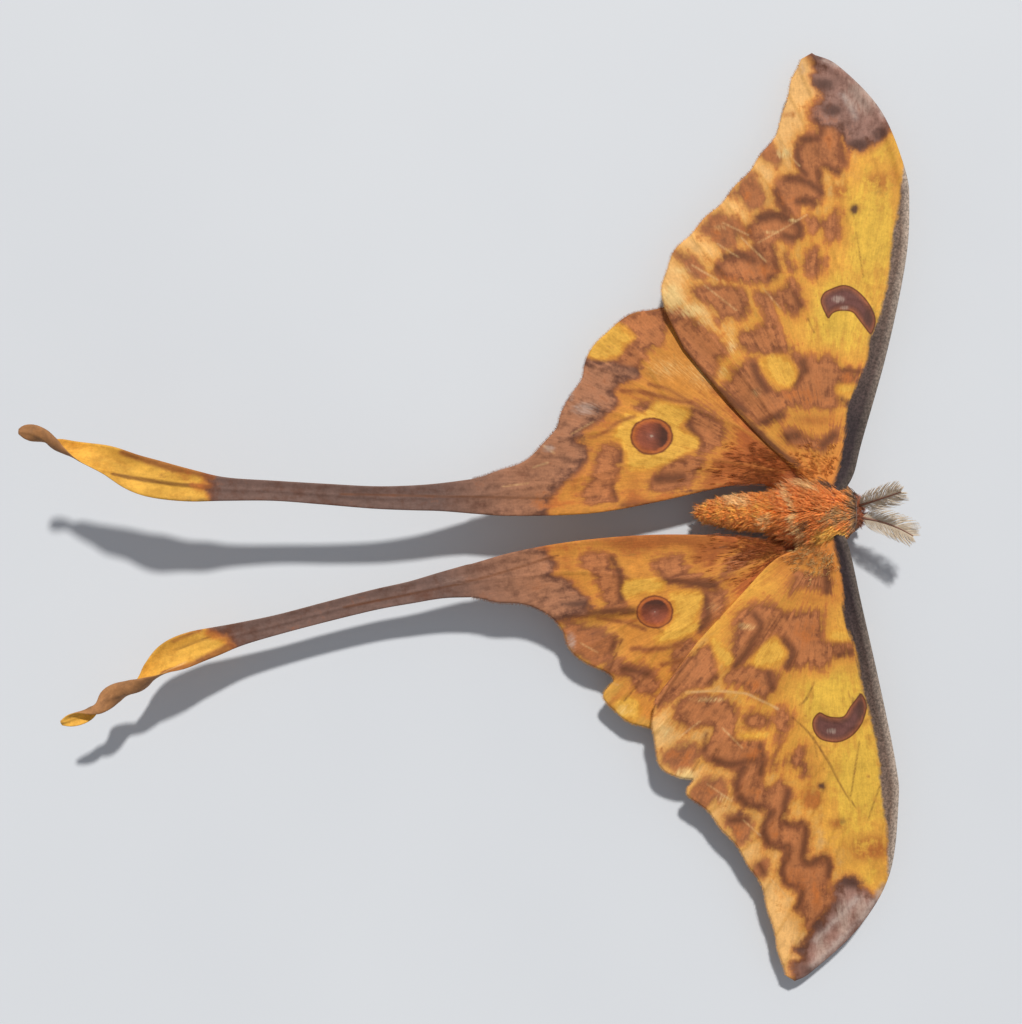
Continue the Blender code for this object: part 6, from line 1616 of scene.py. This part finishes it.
# The eyes: domes of thousands of hexagonal lenses, nearly black. The lenses are drawn four times
# too large, so that their mosaic shows.
EYE_CENTRE = (4.35, 1.6, 3.55)
EYE_RADIUS = 1.0
LENS = 0.1
eye_gloss, tree, shader = new_material("faceted_eye_cuticle", roughness=0.18, ior=1.56,
                                       coat_weight=0.4, coat_roughness=0.08)
place = node(tree, "ShaderNodeTexCoord").outputs["Object"]
cells = node(tree, "ShaderNodeTexVoronoi", {"Vector": place, "Scale": 1 / (LENS * MM)},
             feature="DISTANCE_TO_EDGE").outputs["Distance"]
dome = node(tree, "ShaderNodeMapRange", {0: cells, 1: 0.0, 2: 0.25},
            interpolation_type="SMOOTHSTEP").outputs[0]
tone = node(tree, "ShaderNodeMix", {0: dome, 6: linear("#120A08"), 7: linear("#33201A")},
            data_type="RGBA").outputs[2]
tree.links.new(tone, shader.inputs["Base Color"])
bump = node(tree, "ShaderNodeBump", {"Strength": 0.6, "Distance": 0.03 * MM, "Height": dome})
tree.links.new(bump.outputs["Normal"], shader.inputs["Normal"])
for side, sign in (("left", 1), ("right", -1)):
    turn = np.linspace(0.02, np.pi - 0.02, 33)
    stations = [(EYE_CENTRE[0] - EYE_RADIUS * math.cos(t), sign * EYE_CENTRE[1], EYE_CENTRE[2],
                 EYE_RADIUS * math.sin(t), EYE_RADIUS * math.sin(t)) for t in turn]
    points, faces = loft(tube_frame(stations, 0.03), 64)
    make_piece("compound_eye_" + side, points, faces, eye_gloss, {}, "eye", ("eye_" + side,))

# The feelers: a jointed shaft with four rows of fine rays, two a side, each ray fringed with
# sensing hairs. They are bare, straw-coloured chitin, slightly translucent, browner on the shaft.
FEELERS = {
    "left": {"root": (4.5, 0.7, 5.0), "heading": 22, "rise": 56, "length": 6.9, "bend": 2,
             "vanes": (18, 206)},
    "right": {"root": (4.5, -0.7, 5.0), "heading": -4, "rise": 15, "length": 7.4, "bend": -30,
              "vanes": (12, 188)},
}
FEELER_JOINTS = 30
BARE_JOINTS = 3
SHAFT_HALF = 0.17
SHAFT_TAPER = 0.55
KNEE_PLACE = 0.55
RAY_LENGTH = 2.9
RAY_SWEEP = 50
RAY_HALVES = (0.05, 0.052, 0.046, 0.038, 0.014)
SENSE_HAIR = 0.3
SENSE_HAIR_HALF = 0.012
SENSE_HAIR_LEAN = 0.3
# the two rays of a joint and side: place along the joint, share of the length, roll in degrees
RAY_TWINS = ((0.0, 1.0, -6), (0.5, 0.82, 6))
feeler_chitin, tree, shader = new_material("straw_chitin", roughness=0.5, ior=1.55)
place = node(tree, "ShaderNodeTexCoord").outputs["Object"]
grain = node(tree, "ShaderNodeTexNoise", {"Vector": place, "Scale": 1 / (0.2 * MM)}).outputs["Fac"]
straw = node(tree, "ShaderNodeMix", {0: grain, 6: linear("#D8C4AC"), 7: linear("#EADBC6")},
             data_type="RGBA").outputs[2]
on_shaft = node(tree, "ShaderNodeAttribute", attribute_name="shaft").outputs["Fac"]
straw = node(tree, "ShaderNodeMix", {0: on_shaft, 6: straw, 7: linear("#7E5240")},
             data_type="RGBA").outputs[2]
tree.links.new(straw, shader.inputs["Base Color"])
bump = node(tree, "ShaderNodeBump", {"Strength": 0.3, "Distance": 0.02 * MM, "Height": grain})
tree.links.new(bump.outputs["Normal"], shader.inputs["Normal"])
for number, (side, feeler) in enumerate(FEELERS.items()):
    rng = np.random.default_rng(80 + number)
    share = np.linspace(0, 1, FEELER_JOINTS)
    turn = np.radians(feeler["heading"] + feeler["bend"] * share)
    rise = np.radians(feeler["rise"] * (1 - 0.25 * share))
    ahead = np.stack((np.cos(rise) * np.cos(turn), np.cos(rise) * np.sin(turn), np.sin(rise)), axis=1)
    steps = np.vstack((np.zeros((1, 3)), ahead * feeler["length"] / FEELER_JOINTS))
    line = np.array(feeler["root"]) + np.cumsum(steps, axis=0)
    thick = SHAFT_HALF * (1 - SHAFT_TAPER * np.linspace(0, 1, FEELER_JOINTS + 1))
    pieces = [loft(tube_frame(np.column_stack((line, thick, thick)), 0.1), 10)]
    shaft_points = len(pieces[0][0])
    hairs = []
    for joint in range(BARE_JOINTS, FEELER_JOINTS):
        share = (joint - BARE_JOINTS) / (FEELER_JOINTS - BARE_JOINTS - 1)
        t = ahead[joint]
        left = unit(np.cross((0.0, 0.0, 1.0), t))
        up = np.cross(t, left)
        full = RAY_LENGTH * (0.55 + 0.45 * math.sin(math.pi * (0.12 + 0.76 * share)) ** 0.8)
        full *= 1.0 - 0.5 * fade(share, 0.7, 1.0)
        for vane in feeler["vanes"]:
            for offset, reach, apart in RAY_TWINS:
                roll = math.radians(vane + apart + rng.normal(0, 3))
                outward = math.cos(roll) * left + math.sin(roll) * up
                sweep = math.radians(RAY_SWEEP - 14 * share + rng.normal(0, 1.5))
                way = math.cos(sweep) * t + math.sin(sweep) * outward
                start = line[joint] + (line[joint + 1] - line[joint]) * offset
                length = full * reach * rng.uniform(0.95, 1.03)
                knee = start + way * length * KNEE_PLACE
                tip = knee + unit(way + 0.55 * t) * length * (1 - KNEE_PLACE)
                places = (start, (start + knee) / 2, knee, (knee + tip) / 2, tip)
                ray = tube_frame([(*spot, half, half) for spot, half in zip(places, RAY_HALVES)], 0.3)
                pieces.append(loft(ray, 5))
                for spot, along in zip(ray["spots"][1:-1], ray["ahead"][1:-1]):
                    for turned in (-SENSE_HAIR_LEAN, SENSE_HAIR_LEAN):
                        out = along + (np.cross(along, outward) + outward) * turned
                        hairs.append((spot, unit(out)))
    points, faces = gather(pieces)
    shaft = np.zeros(len(points))
    shaft[:shaft_points] = 1.0
    roots, ways = (np.array(column) for column in zip(*hairs))
    fringe = hair_mesh(roots, ways, ways, np.full(len(roots), SENSE_HAIR),
                       np.full(len(roots), SENSE_HAIR_HALF))[:2]
    points, faces = gather(((points, faces), fringe))
    shaft = np.concatenate((shaft, np.zeros(len(fringe[0]))))
    make_piece("feeler_" + side, points, faces, feeler_chitin, {"shaft": shaft}, "feeler",
               ("antenna_" + side,))
